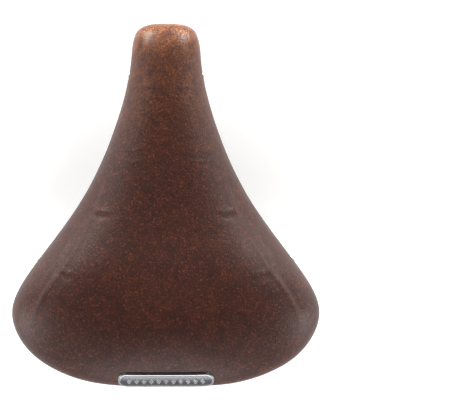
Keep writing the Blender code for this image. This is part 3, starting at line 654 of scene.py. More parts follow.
def zinc():
    """Bright zinc plate: cool grey with faint crystal patches and fine drawn scratches."""
    f = Finish("zinc_plate", Metallic=1.0)
    spangle = f.add("TexVoronoi", {"Vector": f.place, "Scale": 1 / 4.5}).outputs["Color"]
    grey = f.add("RGBToBW", {"Color": spangle}).outputs["Val"]
    tone = f.ramp(grey, [(0.1, (0.27, 0.30, 0.34)), (0.5, (0.36, 0.385, 0.42)),
                         (0.9, (0.45, 0.46, 0.475))], True)
    stretched = f.add("Mapping", {"Vector": f.place, "Scale": (1.0, 1.0, 9.0)}).outputs["Vector"]
    scratch = f.noise(1.3, 4.0, 0.7, where=stretched)
    grime = f.span(f.noise(11.0, 5.0, 0.65), 0.52, 0.74, 0.0, 0.35)
    f.colour(f.mix(grime, tone, (0.12, 0.12, 0.125, 1)))
    f.roughness(f.span(f.sum(scratch, 0.5, grime, 1.0), 0.15, 0.8, 0.20, 0.46))
    f.relief(f.bump(scratch, 0.02, 0.5))
    return f.material


def black_paint():
    """Glossy black stove enamel with a little orange peel, thinner on edges."""
    f = Finish("black_enamel", IOR=1.5, Coat_Weight=0.35, Coat_Roughness=0.12)
    peel = f.noise(2.2, 2.0, 0.5)
    dust = f.noise(14.0, 5.0, 0.7)
    tone = f.ramp(dust, [(0.35, (0.0075, 0.0075, 0.0085)), (0.70, (0.017, 0.017, 0.018))], True)
    edge = f.span(f.add("NewGeometry").outputs["Pointiness"], 0.53, 0.58, 0.0, 0.6)
    f.colour(f.mix(f.math("MULTIPLY", edge, f.span(dust, 0.45, 0.60)), tone, (0.11, 0.11, 0.115, 1)))
    f.roughness(f.span(dust, 0.3, 0.7, 0.20, 0.34))
    f.relief(f.bump(peel, 0.035, 0.5))
    return f.material


def silver(name, dull, bright):
    """Satin silver plate, brushed along X."""
    f = Finish(name, Metallic=1.0)
    brushed = f.add("Mapping", {"Vector": f.place, "Scale": (0.35, 5.0, 5.0)}).outputs["Vector"]
    lines = f.noise(1.0, 4.0, 0.65, where=brushed)
    f.colour(f.ramp(lines, [(0.3, (dull, dull, dull * 1.03)), (0.7, (bright, bright, bright * 1.03))]))
    f.roughness(f.span(lines, 0.3, 0.7, 0.24, 0.36))
    f.relief(f.bump(lines, 0.012, 0.5))
    return f


def badge_silver():
    """Dull silver with a blackened field that leaves the border and the chain in it bright."""
    f = silver("badge_silver", 0.18, 0.27)
    tilt = math.radians(BADGE_TILT_DEG)
    along = f.math("ABSOLUTE", f.axis("X"))
    behind = f.math("MULTIPLY", f.math("SUBTRACT", f.axis("Y"), BADGE_CENTRE[0] + REAR_Y), math.cos(tilt))
    above = f.math("MULTIPLY", f.math("SUBTRACT", f.axis("Z"), BADGE_CENTRE[1]), math.sin(tilt))
    up = f.math("ABSOLUTE", f.math("ADD", behind, above))
    straight = f.math("MAXIMUM", f.math("SUBTRACT", along, BADGE_HALF_LENGTH - BADGE_HALF_HEIGHT), 0.0)
    field = f.span(f.length(straight, up), BADGE_HALF_HEIGHT - 1.4, BADGE_HALF_HEIGHT - 1.9)
    motif = f.math("PINGPONG", along, CHAIN_PITCH / 2)
    lozenge = f.math("ADD", f.math("DIVIDE", motif, CHAIN_HALF[0]), f.math("DIVIDE", up, CHAIN_HALF[1]))
    stroke = f.span(f.math("ABSOLUTE", f.math("SUBTRACT", lozenge, 0.8)), 0.30, 0.20)
    dot = f.span(f.length(motif, up), 0.75, 0.55)
    chain = f.math("MULTIPLY", f.math("MAXIMUM", stroke, dot), f.span(along, CHAIN_REACH + 0.3, CHAIN_REACH))
    black = f.math("MULTIPLY", field, f.math("SUBTRACT", 1.0, chain))
    f.colour(f.mix(f.math("MULTIPLY", black, 0.9), f.tone, (0.055, 0.055, 0.060, 1)))
    return f


def backdrop():
    """Pale paper of the studio floor, lit from within so that it stays pale out to the horizon."""
    f = Finish("pale_paper", Roughness=0.85, Specular_IOR_Level=0.0)
    cloud = f.noise(120.0, 3.0)
    f.colour(f.ramp(cloud, [(0.3, (0.80, 0.80, 0.80)), (0.7, (0.82, 0.82, 0.82))]))
    away = f.add("VectorMath", {0: f.place}, operation="LENGTH").outputs["Value"]
    glow = f.span(away, *FLOOR_GLOW_REACH, *FLOOR_GLOW)
    f.shader.inputs["Emission Color"].default_value = (1, 1, 1, 1)
    f.tree.links.new(glow, f.shader.inputs["Emission Strength"])
    return f.material


LEATHER = leather()
FOAM = foam()
GEL = gel()
SHELL_PLASTIC = plastic("shell_plastic_black", (0.0065, 0.0065, 0.007), (0.013, 0.013, 0.014),
                        0.52, 0.55, 0.25)
TRIM_PLASTIC = plastic("trim_plastic_grey", (0.020, 0.019, 0.020), (0.033, 0.032, 0.033),
                       0.46, 0.45, 0.35)
CLIP_PLASTIC = plastic("clip_plastic_grey", (0.017, 0.017, 0.019), (0.030, 0.030, 0.032),
                       0.42, 0.5, 0.4)
ZINC = zinc()
ENAMEL = black_paint()
BADGE_SILVER = badge_silver().material
STUD_SILVER = silver("stud_bright_silver", 0.62, 0.74).material


# ------------------------------------------------------------------ seat

def stud_places(loop):
    """Centre and outward direction of each stud, from its CAD node's box and the outline."""
    normal = outward(loop)
    places = {}
    for node in sorted(frame["nodes"]):
        if "_stud_" not in node:
            continue
        low, high = span(node)
        middle = (low + high) / 2
        gap = np.hypot(loop[:, 0] - middle[0], loop[:, 1] + REAR_Y - middle[1])
        nearest = int(np.argmin(gap))
        centre = (loop[nearest, 0], loop[nearest, 1] + REAR_Y, middle[2])
        places[node] = (Vector(centre), Vector((*normal[nearest], 0)))
    return places


def fold_height(x, s):
    """Height of the pressed folds over the cover, at places in plan."""
    x = np.abs(x)
    total = np.zeros_like(x)
    for line in FOLD_LINES:
        near = np.full(x.shape, 1e9)
        offset = np.zeros_like(x)
        run = np.zeros_like(x)
        lengths = [math.dist(a, b) for a, b in zip(line, line[1:])]
        start = 0.0
        for (ax, ay), (bx, by), length in zip(line, line[1:], lengths):
            ux, uy = (bx - ax) / length, (by - ay) / length
            along = np.clip((x - ax) * ux + (s - ay) * uy, 0, length)
            dx, dy = x - ax - ux * along, s - ay - uy * along
            gap = np.hypot(dx, dy)
            closer = gap < near
            near = np.where(closer, gap, near)
            offset = np.where(closer, gap * np.sign(dx * -uy + dy * ux), offset)
            run = np.where(closer, start + along, run)
            start += length
        to_end = np.minimum(run + FOLD_END, start - run + FOLD_END)
        taper = np.minimum(1, to_end / min(FOLD_RUN_OUT, start))
        ridge = FOLD_RIDGE * np.exp(-(offset / RIDGE_WIDTH) ** 2)
        valley = FOLD_VALLEY * np.exp(-((offset - VALLEY_OFFSET) / VALLEY_WIDTH) ** 2)
        total += (ridge - valley) * taper * (near < FOLD_REACH)
    for place_s, place_x, reach in WRINKLES:
        bow = s - place_s - WRINKLE_BOW * (x - place_x) ** 2
        fade = np.exp(-((x - place_x) / reach) ** 2)
        total += WRINKLE_HEIGHT * np.exp(-(bow / WRINKLE_WIDTH) ** 2) * fade
    return total


def surface_normals(rings):
    """Outward normals of a stack of rings."""
    along = np.roll(rings, -1, 1) - np.roll(rings, 1, 1)
    up = np.gradient(rings, axis=0)
    normal = np.cross(along, up)
    return normal / np.maximum(np.linalg.norm(normal, axis=2), 1e-9)[..., None]


def cover_rings(loop):
    """The cover's outer face, with its folds, faint lumps and the dimples round its studs."""
    rings = seat_rings(loop, COVER_ANGLES)
    normal = surface_normals(rings)
    lift = fold_height(rings[..., 0], rings[..., 1] - REAR_Y)
    lumps = [sum(height * noise.noise(Vector(p) / size) for height, size in LUMPS)
             for p in rings.reshape(-1, 3)]
    lift += np.array(lumps).reshape(lift.shape)
    for centre, _ in stud_places(loop).values():
        gap = np.linalg.norm(rings - np.array(centre), axis=2)
        lift -= DIMPLE_DEPTH * np.exp(-(gap / DIMPLE_RADIUS) ** 4)
    edge = np.minimum(1, np.arange(len(rings)) / 5)[:, None]
    return rings + normal * (lift * edge)[..., None]


def add_cover(loop):
    """Moulded cover with a turned-in hem."""
    solid = Solid()
    outer = solid.stack(cover_rings(loop))
    solid.close_across(outer[-1])
    hem = ((0.25, 0.25), (0.8, 0.4), (1.35, 0.25))
    lower = solid.stack([seat_rings(loop, [-90], depth, False, drop)[0] for depth, drop in hem])
    inner = solid.stack(seat_rings(loop, COVER_ANGLES[::4], COVER_THICKNESS))
    solid.close_across(inner[-1])
    solid.bridge(outer[0], lower[0])
    solid.bridge(lower[-1], inner[0])
    stand_for(blank("cover", solid, 60), "cover", LEATHER)


def gel_share(x, s):
    """How far inside a gel pad's oval a place is: 1 at its middle, 0 on its rim."""
    return 1 - np.hypot((np.abs(x) - GEL_CENTRE[0]) / GEL_RADII[0], (s - GEL_CENTRE[1]) / GEL_RADII[1])


def add_foam(loop):
    """Foam pad with a pocket sunk in its top for each gel pad."""
    depth = COVER_THICKNESS + GAP
    outer = seat_rings(loop, LAYER_ANGLES, depth, False, -EDGE_RISE)
    s = outer[..., 1] - REAR_Y
    pocket = np.clip(gel_share(outer[..., 0], s) * 12 + 1, 0, 1)
    outer[..., 2] -= pocket * (GEL_THICKNESS + 2 * GAP) * (outer[..., 2] > widest(s) + 8)
    solid = Solid()
    out = solid.stack(outer)
    solid.close_across(out[-1])
    inner = solid.stack(seat_rings(loop, LAYER_ANGLES, depth, True, -EDGE_RISE))
    solid.close_across(inner[-1])
    solid.bridge(out[0], inner[0])
    stand_for(blank("foam_pad", solid), "foam_pad", FOAM)


def skin_tree(loop, depth):
    """Surface that lies depth inside the cover, to drop points onto."""
    solid = Solid()
    made = solid.stack(seat_rings(loop, COVER_ANGLES[::2], depth))
    solid.close_across(made[-1])
    return BVHTree.FromPolygons([Vector(p) for p in solid.points], solid.faces)


def add_gel_pads(loop):
    """Domed oval pads with rounded rims, one each side."""
    top = skin_tree(loop, COVER_THICKNESS + 2 * GAP)
    turn = np.linspace(0, 2 * math.pi, 72, endpoint=False)
    profile = [(0.05, 0.3), (0.4, 0.3), (0.75, 0.3), (0.93, 0.5), (0.975, 1.2), (0.985, 2.5),
               (0.98, 5.2), (0.95, 6.3), (0.75, 6.8), (0.4, 6.9), (0.05, 6.9)]

    def level(sign, share, down):
        ring = []
        for a in turn:
            x = sign * (GEL_CENTRE[0] + GEL_RADII[0] * share * math.cos(a))
            y = GEL_CENTRE[1] + REAR_Y + GEL_RADII[1] * share * math.sin(a)
            ring.append((x, y, top.ray_cast(Vector((x, y, 200)), Vector((0, 0, -1)))[0].z - down))
        return ring

    for side, sign in SIDES:
        node = f"gel_pad_{side}"
        pad = capped([level(sign, share, down) for share, down in profile])
        stand_for(blank(node, pad), node, GEL)


def rounded_box(low, high, radius):
    """Cutter box whose upright and lower edges are rounded."""
    obj = place("tool", mesh_of("tool", box(low, high)))
    bm = bmesh.new()
    bm.from_mesh(obj.data)
    top = high[2] * MM
    keep = [e for e in bm.edges if not all(abs(v.co.z - top) < 1e-6 for v in e.verts)]
    bmesh.ops.bevel(bm, geom=keep, offset=radius * MM, segments=3, affect="EDGES", profile=0.5)
    bm.to_mesh(obj.data)
    bm.free()
    return obj


def shell_blocks():
    """Blocks and ribs left standing in the base shell: (low corner, high corner, edge radius)."""
    clip_low, clip_high = span("accessory_clip")
    bracket_top = span("nose_bracket")[1][2]
    plate_top = span("spring_plate_left")[1][2]
    hinge_y = HINGE[1]
    blocks = [((-20, clip_low[1] + 4, clip_high[2] + GAP), (20, clip_high[1] + 3, 120), 1.2),
              ((-14, hinge_y - 17, bracket_top + GAP), (14, hinge_y + 17, 120), 1.5),
              ((-1.5, clip_high[1], 66), (1.5, 20, 120), 0.5)]
    for sign in (-1, 1):
        x = sorted((sign * (SPRING_X - 19), sign * (SPRING_X + 19)))
        blocks.append(((x[0], SPRING_Y - 18, plate_top + GAP), (x[1], SPRING_Y + 18, 120), 2.5))
        x = sorted((sign * 21, sign * 24))
        blocks.append(((x[0], clip_low[1] + 2, 62), (x[1], 30, 120), 0.8))
        for y in (-48, -34, -20, -6, 8):
            x = sorted((sign * 24, sign * 90))
            ceiling = crest(y - REAR_Y) - foam_top(y - REAR_Y) - 7.5
            blocks.append(((x[0], y - 0.8, ceiling - 9), (x[1], y + 0.8, 120), 0.4))
    for y in (30, 42, 100):
        blocks.append(((-30, y - 0.8, 50 - (y > 60) * 6), (30, y + 0.8, 120), 0.4))
    return blocks


def screw_places():
    """Axis foot and underside of every screw driven up into the shell, from their CAD nodes."""
    places = {}
    for node in sorted(frame["nodes"]):
        if "_screw_" in node:
            low, high = span(node)
            places[node] = ((low[0] + high[0]) / 2, (low[1] + high[1]) / 2, low[2] + SCREW_HEAD)
    return places


def screw_bores(start, profile, sides, lift=0.0, solver="EXACT"):
    """Boolean steps for a bore round each screw whose node's name begins so."""
    return [cut(lathe(profile, sides), (x, y, z + lift), solver)
            for node, (x, y, z) in screw_places().items() if node.startswith(start)]


def add_base_shell(loop):
    """Moulded pan: hollow skin with bosses, blocks and a grid of ribs inside it."""
    out = COVER_THICKNESS + 2 * GAP

    def lump(depth, drop):
        solid = Solid()
        made = solid.stack(seat_rings(loop, LAYER_ANGLES, depth, True, drop))
        solid.close_across(made[-1])
        solid.close_across(made[0])
        return solid

    hollow = place("shell_hollow", mesh_of("shell_hollow", lump(out + SHELL_THICKNESS, 7.0)))
    cuts = [("DIFFERENCE", rounded_box(*block), "MANIFOLD") for block in shell_blocks()]
    combine(hollow, cuts)
    shell = blank("base_shell", lump(out, -EDGE_RISE))
    bores = screw_bores("", [(SCREW_BORE, -1), (SCREW_BORE, 9.5)], 20, solver="MANIFOLD")
    combine(shell, [("DIFFERENCE", hollow, "MANIFOLD"), *bores])
    stand_for(shell, "base_shell", SHELL_PLASTIC)


def add_edge_trim(loop):
    """Rounded rim band under the cover's lower edge."""
    s = loop[:, 1]
    normal = outward(loop)
    edge = loop - normal * tuck_under(s)[:, None]
    top = lower_edge(s) - TRIM_GAP
    high = trim_height(s)
    depth = TRIM_DEPTH - TRIM_NARROWING * np.clip((s - TRIM_NARROWS[0]) / TRIM_NARROWS[1], 0, 1)
    outside = [(0.5, 0.0), (0.1, 0.10), (0.0, 0.25), (0.05, 0.5), (0.4, 0.72), (1.0, 0.88),
               (1.9, 0.98), (3.0, 1.0)]
    rings = [(edge + normal * (TRIM_PROUD - shift), top - high * down) for shift, down in outside]
    inside = [(1.4, 1.0), (0.6, 0.93), (0.1, 0.75), (0.0, 0.5), (0.0, 0.12), (0.5, 0.0)]
    rings += [(edge - normal * (depth - shift)[:, None], top - high * down) for shift, down in inside]
    rings.append((edge - normal * TRIM_DEPTH / 3, top))
    band = looped([np.column_stack([plan[:, 0], plan[:, 1] + REAR_Y, z]) for plan, z in rings])
    stand_for(blank("edge_trim", band, 60), "edge_trim", TRIM_PLASTIC)


def badge_relief(u, v):
    """Height over the badge: raised border, sunk field, and a raised chain of lozenges and dots in it."""
    straight = BADGE_HALF_LENGTH - BADGE_HALF_HEIGHT
    edge = BADGE_HALF_HEIGHT - np.hypot(np.maximum(np.abs(u) - straight, 0), v)
    field = np.clip((edge - BADGE_BORDER) / 0.35, 0, 1)
    reach, drop = BADGE_ROUNDING
    height = -FIELD_DEPTH * field - drop * (1 - np.sqrt(np.clip(edge / reach, 0, 1)))
    half = CHAIN_PITCH / 2
    motif = (u + half) % CHAIN_PITCH - half
    inside = np.clip((CHAIN_REACH - np.abs(u)) / 0.3, 0, 1)
    lozenge = np.abs(np.abs(motif) / CHAIN_HALF[0] + np.abs(v) / CHAIN_HALF[1] - 0.8)
    height += CHAIN_HEIGHT * np.clip(1.25 - lozenge / 0.24, 0, 1) * inside
    height += CHAIN_HEIGHT * np.clip((0.75 - np.hypot(motif, v)) / 0.25, 0, 1) * inside
    return height


def add_badge(loop):
    """Curved nameless plate on the rear of the cover."""
    skin = skin_tree(loop, 0.0)
    tilt = math.radians(BADGE_TILT_DEG)
    normal = Vector((0, -math.sin(tilt), math.cos(tilt)))
    up = Vector((0, math.cos(tilt), math.sin(tilt)))
    centre = Vector((0, BADGE_CENTRE[0] + REAR_Y, BADGE_CENTRE[1]))
    straight = BADGE_HALF_LENGTH - BADGE_HALF_HEIGHT
    ends = straight + BADGE_HALF_HEIGHT * np.sin(np.radians(np.linspace(4, 87, 22)))
    across = np.concatenate([-ends[::-1], np.linspace(-straight, straight, 261), ends])
    columns = []
    for u in across:
        reach = math.sqrt(BADGE_HALF_HEIGHT**2 - max(abs(u) - straight, 0) ** 2)
        v = np.sin(np.linspace(-1, 1, 61) * math.pi / 2) * reach
        hits = []
        for w in v:
            start = centre + Vector((u, 0, 0)) + up * w + normal * 30
            hits.append(np.array(skin.ray_cast(start, -normal)[0]))
        hits = np.array(hits)
        relief = badge_relief(np.full_like(v, u), v)
        face = hits + np.array(normal) * (BADGE_FACE + relief)[:, None]
        back = hits + np.array(normal) * BADGE_BACK
        columns.append(np.concatenate([back[::6], face[::-1]]))
    stand_for(blank("rear_badge", capped(columns), 60), "rear_badge", BADGE_SILVER)


def add_studs(loop):
    """Domed rivets with a stepped collar."""
    profile = [(1.5, -4.1), (1.5, -0.9), (4.1, -0.8), (4.5, -0.5), (4.6, -0.1), (4.5, 0.3),
               (4.2, 0.5), (3.7, 0.5), (3.5, 0.42), (3.35, 0.55), (2.9, 0.75), (2.2, 0.93),
               (1.3, 1.04), (0.5, 1.08)]
    for node, (centre, direction) in stud_places(loop).items():
        turn = direction.to_track_quat("Z", "Y").to_matrix()
        stand_for(blank(node, lathe(profile), 50, centre, turn), node, STUD_SILVER)


# ------------------------------------------------------------------ fittings under the seat

def screw_mesh():
    """Pan-head screw with a cross recess, head below Z = 0 and threaded shank above."""
    head = [(0.4, -SCREW_HEAD), (1.6, -1.95), (2.5, -1.7), (3.1, -1.2), (3.38, -0.6), (3.4, -0.15),
            (3.25, 0.0), (1.6, 0.0)]
    rings = [circle(r, z, 28) for r, z in head]
    rings += thread_rings(1.6, 0.3, 8.6, 1.3, 0.35) + [circle(0.6, 9.0, 28)]
    obj = place("screw", mesh_of("screw", capped(rings), 35))
    combine(obj, [cut(box((-wide, -deep, -3), (wide, deep, -1.0)))
                  for wide, deep in ((0.42, 1.9), (1.9, 0.42))], 35)
    mesh = obj.data
    bpy.data.objects.remove(obj)
    return mesh


def add_screws():
    mesh = screw_mesh()
    for i, (node, at) in enumerate(screw_places().items()):
        turn = Matrix.Rotation(math.radians(23 * i), 3, "Z")
        stand_for(place(node + "_fine", mesh.copy(), at, turn), node, ZINC)


def add_accessory_clip():
    """Moulded socket: tapered body with a keyed slot, grip ribs and two counterbored screw holes."""
    low, high = span("accessory_clip")
    wide, narrow = high[0], 14.5
    section = [(-wide, high[2]), (-wide, high[2] - 2.0), (-narrow - 2, low[2] + 1.5), (-narrow, low[2]),
               (narrow, low[2]), (narrow + 2, low[2] + 1.5), (wide, high[2] - 2.0), (wide, high[2])]
    body = capped([[(x, y, z) for x, z in section] for y in (low[1], high[1])])
    clip = rounded(blank("accessory_clip", body), 0.6)
    slot_low, slot_high, lip = 57.5, 63.0, 1.6
    steps = [cut(box((-10, low[1] - 1, slot_low), (10, low[1] + 14, slot_high))),
             cut(box((-12, low[1] - 1, slot_low + lip), (12, low[1] + 11, slot_high - lip)))]
    for x in np.arange(-2, 3) * 4.2:
        steps.append(cut(box((x - 0.7, low[1] + 2.5, low[2] - 1),
                             (x + 0.7, high[1] - 2.5, low[2] + 0.7))))
    bore = [(4.6, -14), (4.6, -9.8), (3.9, -8.8), (3.9, 0), (SCREW_BORE, 0), (SCREW_BORE, 8)]
    combine(clip, steps + screw_bores("clip_screw", bore, 32, GAP))
    stand_for(clip, "accessory_clip", CLIP_PLASTIC)


def add_nose_bracket():
    """Pressed steel saddle round the rails' front bow, with rounded flanges."""
    low, high = span("nose_bracket")
    y0, z0 = HINGE[1], HINGE[2]
    top = high[2]
    flange = top - 2.0
    reach = (high[1] - low[1]) / 2
    outer_r, inner_r, fillet = z0 - low[2], 4.0, 1.6
    arc = np.radians(np.linspace(180, 360, 33))
    outer = [(y0 + outer_r * math.cos(a), z0 + outer_r * math.sin(a)) for a in arc]
    inner = [(y0 + inner_r * math.cos(a), z0 + inner_r * math.sin(a)) for a in arc]
    bend = np.radians(np.linspace(90, 0, 7))
    left_bend = [(y0 - outer_r - fillet + fillet * math.cos(a), flange - fillet + fillet * math.sin(a))
                 for a in bend]
    right_bend = [(2 * y0 - y, z) for y, z in left_bend[::-1]]
    outline = [(y0 - reach, top), (y0 - reach, flange), *left_bend, *outer, *right_bend,
               (y0 + reach, flange), (y0 + reach, top), (y0 + inner_r, top), *inner[::-1],
               (y0 - inner_r, top)]
    bracket = blank("nose_bracket", capped([[(x, y, z) for y, z in outline] for x in (low[0], high[0])]))
    corners = rounded_prism(low[0], high[0], y0 - reach, y0 + reach, 5.0, z0 - 20, top + 5)
    bores = screw_bores("nose_bracket", [(SCREW_BORE, -4), (SCREW_BORE, 6)], 28)
    combine(bracket, [cut(corners, operation="INTERSECT"), *bores])
    stand_for(rounded(bracket, 0.35, 2, 50), "nose_bracket", ZINC)


def rounded_prism(x0, x1, y0, y1, radius, low, high):
    """Upright prism with a rounded rectangular outline."""
    outline = []
    for cx, cy, start in ((x1 - radius, y1 - radius, 0), (x0 + radius, y1 - radius, 90),
                          (x0 + radius, y0 + radius, 180), (x1 - radius, y0 + radius, 270)):
        for a in np.radians(np.linspace(start, start + 90, 9)):
            outline.append((cx + radius * math.cos(a), cy + radius * math.sin(a)))
    return capped([[(x, y, z) for x, y in outline] for z in (low, high)])


def eye_path(foot, leave):
    """Wire bent round the bolt at foot and led smoothly into the straight run towards leave."""
    out = (leave - foot) / np.linalg.norm(leave - foot)
    side = np.array((-out[1], out[0], 0.0))

    def at(along, across):
        return foot + out * along + side * across

    points = []
    for a in np.radians(np.linspace(325, 65, 40)):
        points.append(at(EYE_RADIUS * math.cos(a), EYE_RADIUS * math.sin(a)))
    a = math.radians(65)
    p0 = np.array((EYE_RADIUS * math.cos(a), EYE_RADIUS * math.sin(a)))
    p1 = p0 + np.array((math.sin(a), -math.cos(a))) * 7.0
    p3 = np.array((27.0, 0.0))
    p2 = p3 - np.array((9.0, 0.0))
    for t in np.linspace(0, 1, 16)[1:]:
        b = (1 - t) ** 3 * p0 + 3 * (1 - t) ** 2 * t * p1 + 3 * (1 - t) * t**2 * p2 + t**3 * p3
        points.append(at(*b))
    return points


def add_rail_frame():
    """One bent wire from eye to eye, round the front bow."""
    foot = np.array((SPRING_X, SPRING_Y, 0.0))
    turn_in = np.array((RAIL_HALF_SPACING, -CLAMP_HALF_LENGTH - 4, 0.0))
    eye = eye_path(foot, turn_in)
    half = [(eye[-1], 0), (turn_in, 22), ((RAIL_HALF_SPACING, RISER_START_Y, 0), 13),
            ((BOW_HALF_WIDTH, HINGE[1], HINGE[2]), 6)]
    mirrored = [(np.array(p) * (-1, 1, 1), r) for p, r in half[::-1]]
    middle = rounded_path(half + mirrored)
    path = eye + middle[1:-1] + [p * (-1, 1, 1) for p in eye[::-1]]
    stand_for(blank("rail_frame", sweep(path, RAIL_RADIUS, 28)), "rail_frame", ENAMEL)


def spring_path():
    """Centre line of a spring whose small foot coil opens out into full coils, about its own axis."""
    low, high = span("spring_right")
    wire = 2.25
    full = (high[0] - low[0]) / 2 - wire
    foot_radius = 11.5
    foot_turns, rising, head = 0.8, 3.1, 0.5
    foot_z, head_z = low[2] + wire, high[2] - wire
    points = []
    count = 48
    for i in range(int((foot_turns + rising + head) * count) + 1):
        turns = i / count
        risen = min(max((turns - foot_turns) / rising, 0), 1)
        ease = risen - 0.042 * math.sin(2 * math.pi * risen)
        opened = min(max((turns - foot_turns + 0.05) / 0.6, 0), 1)
        radius = foot_radius + (full - foot_radius) * math.sin(opened * math.pi / 2)
        angle = 2 * math.pi * turns
        points.append((radius * math.cos(angle), radius * math.sin(angle), foot_z + (head_z - foot_z) * ease))
    return points, wire


def add_springs():
    points, wire = spring_path()
    for side, sign in SIDES:
        path = [(sign * (SPRING_X + x), SPRING_Y + y, z) for x, y, z in points]
        node = f"spring_{side}"
        spring = blank(node, sweep(path, wire, 18, 0.2))
        spring.data.materials.append(ZINC)
        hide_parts(node)
        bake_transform(spring)


def add_cross_strap():
    """Pressed strap with rounded ends, turned-up flanges that run out, and chamfered bolt holes."""
    low, high = span("cross_strap")
    half = (high[1] - low[1]) / 2
    thick = 2.0
    flange_length, flange_height, bend = 33.0, 4.0, 1.6
    bend_radius = bend - 0.9
    ends = np.sin(np.radians(np.linspace(0, 88, 16))) * half + SPRING_X
    across_x = np.concatenate([np.linspace(0, SPRING_X, 46)[:-1], ends])
    across_x = np.concatenate([-across_x[:0:-1], across_x])
    rows = []
    for x in across_x:
        beyond = max(abs(x) - SPRING_X, 0)
        wide = math.sqrt(max(half**2 - beyond**2, 0.2))
        rise = flange_height * np.clip((flange_length + 4 - abs(x)) / 8, 0, 1)
        rise = rise * rise * (3 - 2 * rise / flange_height) / flange_height
        row = []
        for share in np.linspace(-1, 1, 41):
            reach = abs(share) * (wide + rise)
            flat = wide - bend * (rise > 0.05)
            if reach <= flat or rise <= 0.05:
                y, z = min(reach, wide), 0.0
            else:
                turned = (reach - flat) / bend
                limit = min(turned, math.pi / 2)
                y = flat + bend_radius * math.sin(limit)
                z = bend_radius * (1 - math.cos(limit)) + max(turned - math.pi / 2, 0) * bend
            row.append((x, SPRING_Y + math.copysign(y, share), low[2] + thick / 2 + z))
        rows.append(row)
    solid = Solid()
    made = [solid.ring(row) for row in rows]
    for a, b in zip(made, made[1:]):
        for i in range(len(a) - 1):
            solid.faces.append((a[i], a[i + 1], b[i + 1], b[i]))
    strap = blank("cross_strap", solid)
    step = strap.modifiers.new("thick", "SOLIDIFY")
    step.thickness = thick * MM
    step.offset = 0.0
    step.use_even_offset = True
    settled(strap)
    bore = lathe([(5.2, low[2] - 1), (WASHER_BORE, low[2] + 0.4), (WASHER_BORE, low[2] + 1.6),
                  (5.2, low[2] + 3)], 36)
    combine(strap, [cut(bore, (sign * SPRING_X, SPRING_Y, 0)) for _, sign in SIDES])
    stand_for(strap, "cross_strap", ZINC)


def add_spring_foot(side, sign):
    """Bolt, nut and washers at a spring's foot."""
    at = (sign * SPRING_X, SPRING_Y, 0)
    node = f"foot_bolt_{side}"
    low, high = span(node)
    head, seat = low[2], low[2] + 4.2
    profile = [(1.2, head), (3.6, head + 0.15), (5.8, head + 0.7), (7.7, head + 1.6), (8.9, head + 2.7),
               (9.4, head + 3.5), (9.5, head + 3.9), (9.2, seat), (BOLT_RADIUS, seat)]
    rings = [circle(r, z, 36) for r, z in profile]
    rings += thread_rings(BOLT_RADIUS, seat + 6, high[2] - 0.7, 1.25, 0.55, 36)
    bolt = blank(node, capped(rings + [circle(3.1, high[2], 36)]), 35, at)
    combine(bolt, [cut(lathe([(3.4, head - 1), (3.4, head + 2.4)], 6), at)], 35)
    stand_for(bolt, node, ZINC)
    for node in (f"foot_washer_{side}", f"coil_washer_{side}"):
        low, high = span(node)
        profile = rounded_ring(WASHER_BORE, (high[0] - low[0]) / 2, low[2], high[2])
        stand_for(blank(node, lathe(profile, 56, True), at=at), node, ZINC)
    node = f"foot_nut_{side}"
    low, high = span(node)
    corner, drop = (high[0] - low[0]) / 2, 1.0
    nut = blank(node, lathe([(corner, low[2]), (corner, high[2])], 6), at=at)
    cone = [(corner - 1.2, low[2]), (corner + 0.4, low[2] + drop), (corner + 0.4, high[2] - drop),
            (corner - 1.2, high[2])]
    bore = [(5.0, low[2] - 0.1), (4.35, low[2] + 0.6), (4.35, high[2] - 0.6), (5.0, high[2] + 0.1)]
    combine(nut, [cut(lathe(cone, 60), at, operation="INTERSECT"), cut(lathe(bore, 36), at)], 25)
    stand_for(nut, node, ZINC)


def add_spring_head(side, sign):
    """Pressed plate that the spring's top coil bears on, with a raised seat ring."""
    node = f"spring_plate_{side}"
    low, high = span(node)
    outer = (high[0] - low[0]) / 2
    z0, z1 = low[2], high[2]
    profile = [(5.0, z0 + 0.3), (5.3, z0), (13.6, z0), (14.2, z0 + 0.5), (15.6, z0 + 0.5), (16.2, z0),
               (19.4, z0), (19.9, z0 + 0.3), (outer, z0 + 0.8), (outer, z1 - 0.5), (19.6, z1), (5.3, z1),
               (5.0, z1 - 0.3)]
    plate = blank(node, lathe(profile, 72, True), at=(sign * SPRING_X, SPRING_Y, 0))
    combine(plate, screw_bores(f"spring_plate_screw_{side}", [(SCREW_BORE, -4), (SCREW_BORE, 6)], 24))
    stand_for(plate, node, ENAMEL)


# ------------------------------------------------------------------ stage

def add_floor():
    size, level = FLOOR_HALF_SIZE, LOW[2] - FLOOR_GAP
    solid = Solid()
    solid.cap(solid.ring([(-size, -size, level), (size, -size, level), (size, size, level),
                          (-size, size, level)]))
    floor = place("studio_floor", mesh_of("studio_floor", solid))
    floor.data.materials.append(backdrop())


def add_light(name, at, toward, size, power, colour=(1, 1, 1)):
    lamp = bpy.data.lights.new(name, "AREA")
    lamp.shape = "RECTANGLE"
    lamp.size, lamp.size_y = size
    lamp.energy = power
    lamp.color = colour
    obj = bpy.data.objects.new(name, lamp)
    bpy.context.scene.collection.objects.link(obj)
    obj.location = at
    obj.rotation_euler = (Vector(toward) - Vector(at)).to_track_quat("-Z", "Y").to_euler()


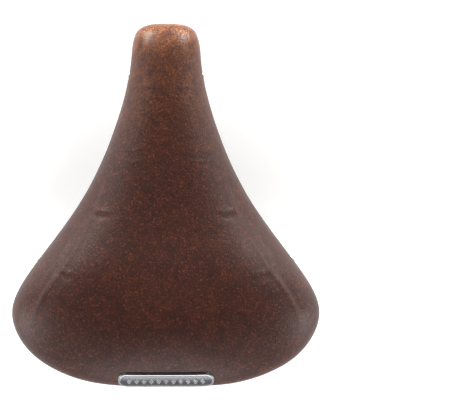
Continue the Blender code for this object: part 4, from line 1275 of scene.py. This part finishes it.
def add_world():
    """Surroundings: bright near the horizon, dim overhead."""
    world = bpy.data.worlds.new("studio")
    bpy.context.scene.world = world
    world.use_nodes = True
    tree = world.node_tree
    where = tree.nodes.new("ShaderNodeTexCoord")
    split = tree.nodes.new("ShaderNodeSeparateXYZ")
    tree.links.new(where.outputs["Generated"], split.inputs["Vector"])
    ramp = tree.nodes.new("ShaderNodeValToRGB")
    ramp.color_ramp.interpolation = "EASE"
    for element, (position, grey) in zip(ramp.color_ramp.elements, SKY):
        element.position = position
        element.color = (grey, grey, grey, 1)
    tree.links.new(split.outputs["Z"], ramp.inputs["Fac"])
    tree.links.new(ramp.outputs["Color"], tree.nodes["Background"].inputs["Color"])
    tree.nodes["Background"].inputs["Strength"].default_value = 1.0


def add_camera():
    """Camera above the seat, turned a little so that the seat stands left of the middle."""
    camera = bpy.data.objects.new("camera", bpy.data.cameras.new("camera"))
    bpy.context.scene.collection.objects.link(camera)
    bpy.context.scene.camera = camera
    camera.data.sensor_width = SENSOR_WIDTH
    camera.data.lens = SENSOR_WIDTH * CAMERA_DISTANCE / FRAME_WIDTH
    camera.location = (0.0, CAMERA_Y, CAMERA_LEVEL + CAMERA_DISTANCE)
    camera.rotation_euler = (0, -math.atan(CAMERA_ASIDE / CAMERA_DISTANCE), 0)
    camera.data.clip_start = 0.05
    camera.data.clip_end = 20


def add_studio():
    add_floor()
    add_world()
    middle, tip = (0, 0.02, 0.05), (0, 0.115, 0.055)
    pairs = [("front_", (0.75, 1.35, 0.33), middle, (0.9, 0.45), 18, (1.0, 0.97, 0.93)),
             ("tip_", (0.62, 1.35, 0.13), tip, (0.24, 0.2), 9, (1.0, 0.96, 0.9)),
             ("", (1.5, -0.3, 0.35), middle, (0.5, 1.4), 22, (1, 1, 1))]
    for name, (x, y, z), toward, size, power, colour in pairs:
        for side, sign in SIDES:
            add_light(name + side, (sign * x, y, z), toward, size, power, colour)
    add_light("rear", (0, -1.4, 1.0), middle, (1.2, 0.5), 22)
    add_camera()
    bpy.context.scene.view_settings.view_transform = "Standard"


def build():
    fine = seat_loop(COVER_LOOP)
    coarse = seat_loop(LAYER_LOOP)
    add_cover(fine)
    add_foam(coarse)
    add_gel_pads(fine)
    add_base_shell(coarse)
    add_edge_trim(fine)
    add_badge(fine)
    add_studs(fine)
    add_screws()
    add_accessory_clip()
    add_nose_bracket()
    add_rail_frame()
    add_springs()
    add_cross_strap()
    for side, sign in SIDES:
        add_spring_foot(side, sign)
        add_spring_head(side, sign)
    add_studio()


build()
